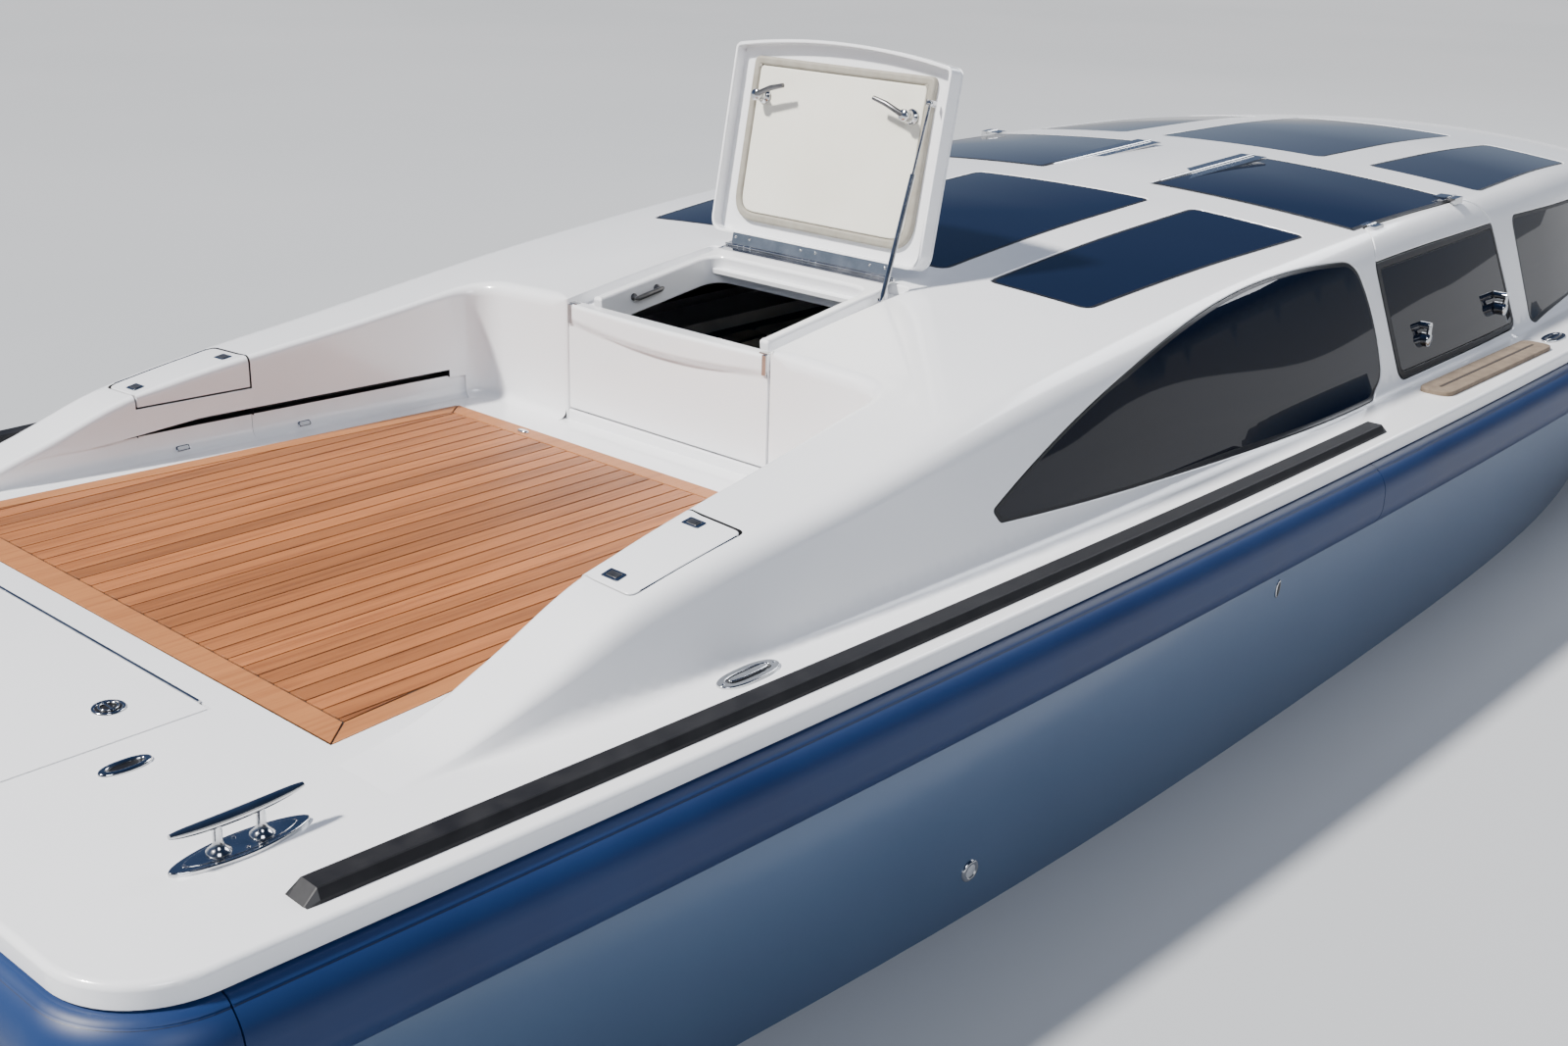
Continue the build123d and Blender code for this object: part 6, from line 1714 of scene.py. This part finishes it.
def build_fairleads():
    """Oval leads in the aft deck, each a polished ring round a hole, with a near-black disc painted in the
    hole as shade.
    """
    patches = Patches()
    station, y, length, width = FAIRLEAD
    outline, hole = oval(length, width, 40, 2.2), oval(length - 0.030, width - 0.022, 36, 2.2)
    well = hole - loop_normals(hole) * 0.001
    for _, sign in SIDES:
        place = on_deck(station, sign * y)
        extruded(patches, place, outline, -0.001, 0.006, 0.005, holes=(hole,), steps=4)
        # A near-black disc in the hole is painted shade
        extruded(patches, place, well, -0.001, 0.0006, 0.0, look=1, caps=(False, True))
        for shift in (-0.041, 0.041):
            screw_head(patches, place, (shift, 0.0, 0.0042), 0.0034)
    patches.make("aft_deck_leads", [STAINLESS, BLACK_TRIM_AND_SHADE], "root", "stainless", "deck_fairleads")


RING_PULL, RING_RADIUS, RING_HEIGHT = (0.545, -0.383), 0.0165, 0.0036
RING_DISH = ((0.030, -0.001), (0.030, 0.002), (0.0285, 0.0036), (0.0245, 0.0038), (0.0235, 0.0016),
             (0.020, 0.0008), (0.0, 0.0004))


def build_ring_pull():
    """Flush ring pull of the platform's hatch: a dish with a ring lying in it."""
    patches = Patches()
    place = on_deck(*RING_PULL)
    turned(patches, place, RING_DISH, sides=36)
    # A near-black disc in the dish is painted shade
    turned(patches, place, ((0.0232, 0.0018), (0.0, 0.0012)), look=1, sides=36)
    a = np.linspace(0, 2 * math.pi, 37)
    ring = np.column_stack([RING_RADIUS * np.cos(a), RING_RADIUS * np.sin(a), np.full_like(a, RING_HEIGHT)])
    tube(patches, spread(place, ring), 0.0024, sides=10, ends=False)
    tube(patches, spread(place, ((0.0, -0.0215, 0.0030), (0.0, 0.0215, 0.0030))), 0.0022, sides=10)
    patches.make("hatch_ring_pull", [STAINLESS, BLACK_TRIM_AND_SHADE], "platform_hatch", "stainless", "hatch_ring")


KNOBS, KNOB_OUT, KNOB_BAR, KNOB_RADII = (4.485, 5.080), 1.0585, (0.150, 0.108), (0.0065, 0.0095)
KNOB_BOSS = ((0.021, 0.0), (0.0205, 0.004), (0.017, 0.007), (0.0, 0.008))


def build_knob_bars():
    """Bars that join the two discs of each knob on the side doors."""
    for name, sign in SIDES:
        patches = Patches()
        y = sign * KNOB_OUT
        for station in KNOBS:
            z = DECK + np.linspace(*KNOB_BAR, 7)
            bar = np.column_stack([np.full_like(z, at(station)), np.full_like(z, y), z])
            tube(patches, bar, np.linspace(*KNOB_RADII, len(z)), sides=14)
            turned(patches, on_deck(station, y, KNOB_BAR[1], (1, 0, 0), (0, 0, 1), (0, sign, 0)), KNOB_BOSS)
        patches.make("knob_bars_" + name, [STAINLESS], "side_door_" + name, "stainless")


LAMPS_AT, LAMP_HEIGHT = (1.393, 1.727), 0.012


def build_courtesy_lights():
    """Small lamps at the foot of the coamings."""
    patches = Patches()
    for _, sign in SIDES:
        for station in LAMPS_AT:
            y = float(cockpit_half(station)) + RECESS_DEPTH - 0.006
            face = (0.0, -sign * 0.80, 0.60)
            place = on_deck(station, sign * y, LAMP_HEIGHT, (1, 0, 0), np.cross(face, (1, 0, 0)), face)
            extruded(patches, place, plate(0.038, 0.016, 0.006), -0.006, 0.002, 0.0015)
            extruded(patches, place, plate(0.030, 0.010, 0.004), 0.001, 0.0032, 0.001, look=1)
    patches.make("coaming_lamps", [STAINLESS, LENS], "root", "stainless")


CROWN_ROOM, PIPING_SINK, PIPING_RADIUS = 0.012, 0.29, 0.0042
# Stations of the benches' ends and their half-breadths, and heights of their seats and backs
BENCH, BENCH_HEIGHTS, BACK_DEPTH = (2.900, 4.150, 0.400, 0.855), ((0.1823, 0.2923), (0.2926, 0.7126)), 0.110
HELM_RIGHT, HELM_LEFT, HELM_LOW = -0.480, -0.020, 0.2123
# Aft and fore stations and upper height of the helm's seat and back
HELM_SEAT, HELM_BACK = (5.672, 6.020, 0.3323), (5.560, 5.670, 0.7723)


def cushion_shift(points, low, high, axis, way, crown, pull):
    """Points of a plain cushion moved: crowned along one axis and pulled in along its sides."""
    t = (points - (low + high) / 2) / ((high - low) / 2)
    i, j = (k for k in range(3) if k != axis)
    out = points.copy()
    bare = 1 - np.clip(t ** 2, 0, 1)
    out[..., axis] += way * crown * (bare[..., i] * bare[..., j]) * np.clip(way * t[..., axis], 0, 1)
    for a, b in ((i, j), (j, i)):
        out[..., a] -= pull * t[..., a] * bare[..., b]
    return out


def cushion(patches, low, high, axis=2, way=1, crown=0.014, pull=0.007, radius=0.030):
    """Padded cushion, crowned on one face and flat on the one it rests on, with piping round its face."""
    low, high = np.array(low, float), np.array(high, float)
    low[1], high[1] = sorted((low[1], high[1]))
    if way > 0:
        high[axis] -= CROWN_ROOM
    else:
        low[axis] += CROWN_ROOM
    run = np.sin(np.linspace(-1, 1, 21) * math.pi / 2)
    a, b = np.meshgrid(run, run, indexing="ij")
    middle, half = (low + high) / 2, (high - low) / 2
    for k in range(3):
        for side in (-1, 1):
            cube = np.zeros((*a.shape, 3))
            cube[..., k], cube[..., (k + 1) % 3], cube[..., (k + 2) % 3] = side, a, b
            flat = middle + cube * half
            core = np.clip(flat, low + radius, high - radius)
            away = unit(flat - core)
            shape = cushion_shift(core + radius * away, low, high, axis, way, crown, pull)
            normals = unit(np.cross(np.gradient(shape, axis=0), np.gradient(shape, axis=1)))
            wrong = np.einsum("...i,...i->...", normals, away) < 0
            normals = unit(np.where(wrong[..., None], -normals, normals) + 0.5 * away)
            patches.grid(shape, normals)
    i, j = (axis + 1) % 3, (axis + 2) % 3
    seam = rectangle(low[i], high[i], low[j], high[j], radius, step=0.04, corner_steps=6)
    seam = seam + loop_normals(seam) * PIPING_SINK * radius
    around = np.zeros((len(seam) + 1, 3))
    around[:, [i, j]] = np.vstack([seam, seam[:1]])
    around[:, axis] = (high[axis] if way > 0 else low[axis]) - way * PIPING_SINK * radius
    piping = cushion_shift(around, low, high, axis, way, crown, pull)
    tube(patches, piping, PIPING_RADIUS, 1, sides=8, ends=False)


def build_cushions():
    """Bench cushions and the helm seat, in vinyl with piped edges."""
    benches = Patches()
    aft, fore, inner, outer = BENCH
    middle, gap = (at(aft) + at(fore)) / 2, 0.002
    (seat_low, seat_high), (back_low, back_high) = BENCH_HEIGHTS
    for _, sign in SIDES:
        for start, end in ((at(aft), middle - gap), (middle + gap, at(fore))):
            cushion(benches, (start, sign * inner, seat_low), (end, sign * outer, seat_high))
            cushion(benches, (start, sign * (outer - BACK_DEPTH), back_low), (end, sign * outer, back_high),
                    axis=1, way=-sign)
    piece = benches.make("bench_padding", [VINYL, PIPING], "root", "upholstery", "bench_cushions")
    helm = Patches()
    for (aft, fore, high), axis in ((HELM_SEAT, 2), (HELM_BACK, 0)):
        cushion(helm, (at(aft), HELM_RIGHT, HELM_LOW), (at(fore), HELM_LEFT, high), axis)
    piece = helm.make("helm_padding", [VINYL, PIPING], "root", "upholstery", "helm_seat")


VENT_AT, LIGHT_AT, OUTBOARD = (3.299, 0.446), (2.057, 0.123), 3.0
LIGHT_RING = ((0.027, -0.004), (0.027, 0.003), (0.024, 0.006), (0.018, 0.006), (0.0165, 0.003), (0.0, 0.0025))
LIGHT_LENS = ((0.0165, 0.0031), (0.012, 0.0045), (0.0, 0.005))


def hull_spot(station, z, sign):
    """Point and outward normal of the topsides at a station and height."""
    hull = frame["nodes"]["hull"]
    into = hull.matrix_world.inverted()
    start = into @ Vector((at(station), sign * OUTBOARD, z))
    way = into.to_3x3() @ Vector((0.0, -sign, 0.0))
    hit, place, normal, _ = hull.ray_cast(start, way.normalized())
    if not hit:
        raise ValueError("no topside at station %.3f" % station)
    turn = hull.matrix_world.to_3x3()
    return np.array(hull.matrix_world @ place), unit(np.array(turn @ normal))


def build_topside_fittings():
    """A small dark vent high on each topside, and a round light with its ring lower down."""
    patches = Patches()
    for _, sign in SIDES:
        for station, z in (VENT_AT, LIGHT_AT):
            p, n = hull_spot(station, z, sign)
            along = unit(np.cross(np.cross(n, (1.0, 0.0, 0.0)), n))
            place = plane_at(p, along, np.cross(n, along), n)
            if (station, z) == VENT_AT:
                extruded(patches, place, oval(0.022, 0.052, 28), -0.004, 0.004, 0.002)
                extruded(patches, place, oval(0.013, 0.040, 24), 0.002, 0.0046, 0.0005, look=1)
            else:
                turned(patches, place, LIGHT_RING, sides=32)
                turned(patches, place, LIGHT_LENS, look=2)
    patches.make("topside_fittings", [STAINLESS, BLACK_TRIM_AND_SHADE, LENS], "root", "stainless")


def held(name, data):
    """An object in the scene that holds a lamp or a camera."""
    holder = bpy.data.objects.new(name, data)
    bpy.context.scene.collection.objects.link(holder)
    return holder


def build_stage():
    """Floor at the waterline, soft studio light and the photograph's view."""
    bpy.ops.mesh.primitive_plane_add(size=FLOOR_SIZE, location=(0, 0, 0))
    floor = bpy.context.object
    floor.name = "studio_floor"
    material = bpy.data.materials.new("studio_floor_finish")
    tree = Tree(material)
    tree.feed(tree.surface, {"Base Color": tree.ramp(tree.noise(0.2), FLOOR_SHADES), "Roughness": 0.75})
    floor.data.materials.append(material)
    world = bpy.data.worlds.new("studio")
    bpy.context.scene.world = world
    tree = Tree(world, "Background")
    side = tree.ranged(tree.axis("Generated", "Y"), *SIDE_LIGHT)
    colour = tree.scaled(tree.ramp(tree.axis("Generated", "Z"), SKY), side)
    tree.feed(tree.surface, {"Color": colour, "Strength": 1.0})
    for name, kind, place, size, energy, colour in LIGHTS:
        lamp = bpy.data.lights.new(name, kind)
        lamp.energy = energy
        lamp.color = colour
        if kind == "SUN":
            lamp.angle = size
        else:
            lamp.size = size
        holder = held(name, lamp)
        holder.location = place
        aim = Vector(LIGHTS_AIM) - Vector(place)
        holder.rotation_euler = aim.to_track_quat("-Z", "Y").to_euler()
    camera = bpy.data.cameras.new("camera")
    camera.lens = FOCAL_LENGTH
    camera.sensor_width = SENSOR_WIDTH
    holder = held("camera", camera)
    seen = Matrix(CAMERA_AXES).transposed() @ Matrix.Diagonal((1, -1, -1))
    holder.matrix_world = Matrix.Translation(CAMERA_PLACE) @ seen.to_4x4()
    bpy.context.scene.camera = holder


FOCAL_LENGTH, SENSOR_WIDTH = 41.61, 36
CAMERA_PLACE = (-5.52433, -3.14900, 2.19862)
CAMERA_AXES = (
    (0.66768, -0.74392, 0.02802),
    (-0.24056, -0.25122, -0.93756),
    (0.70451, 0.61925, -0.34669),
)
LIGHTS = (
    ("key", "SUN", (-9.0, 4.5, 11.0), 0.09, 8.5, (1.0, 0.97, 0.93)),
    ("fill", "AREA", (-9.0, -10.0, 9.0), 5.0, 800, (0.88, 0.92, 1.0)),
    ("rim", "AREA", (9.0, -2.0, 9.0), 6.0, 900, (0.92, 0.95, 1.0)),
)
LIGHTS_AIM = (-1.5, 0.0, 0.7)
FLOOR_SIZE = 600
# The sky's strength to starboard and to port, and where one starts to turn into the other and ends
SIDE_LIGHT = (0.30, 1.0, -0.9, 0.5)
FLOOR_SHADES = ((0.3, (0.40, 0.415, 0.43)), (0.7, (0.43, 0.44, 0.455)))
SKY = ((0.0, (0.56, 0.58, 0.62)), (0.05, (0.34, 0.41, 0.52)), (0.28, (0.060, 0.10, 0.20)),
       (1.0, (0.024, 0.055, 0.14)))

for build in (
    build_superstructure, build_glazing, build_flaps_and_doors, build_teak, build_lid,
    build_lid_fittings, build_rim, build_entry_door, build_locker_lids, build_collar, build_rub_strips,
    build_step_pads, build_cleats, build_popup_cleats, build_fairleads, build_ring_pull,
    build_courtesy_lights, build_knob_bars, build_cushions, build_topside_fittings, build_stage,
):
    build()
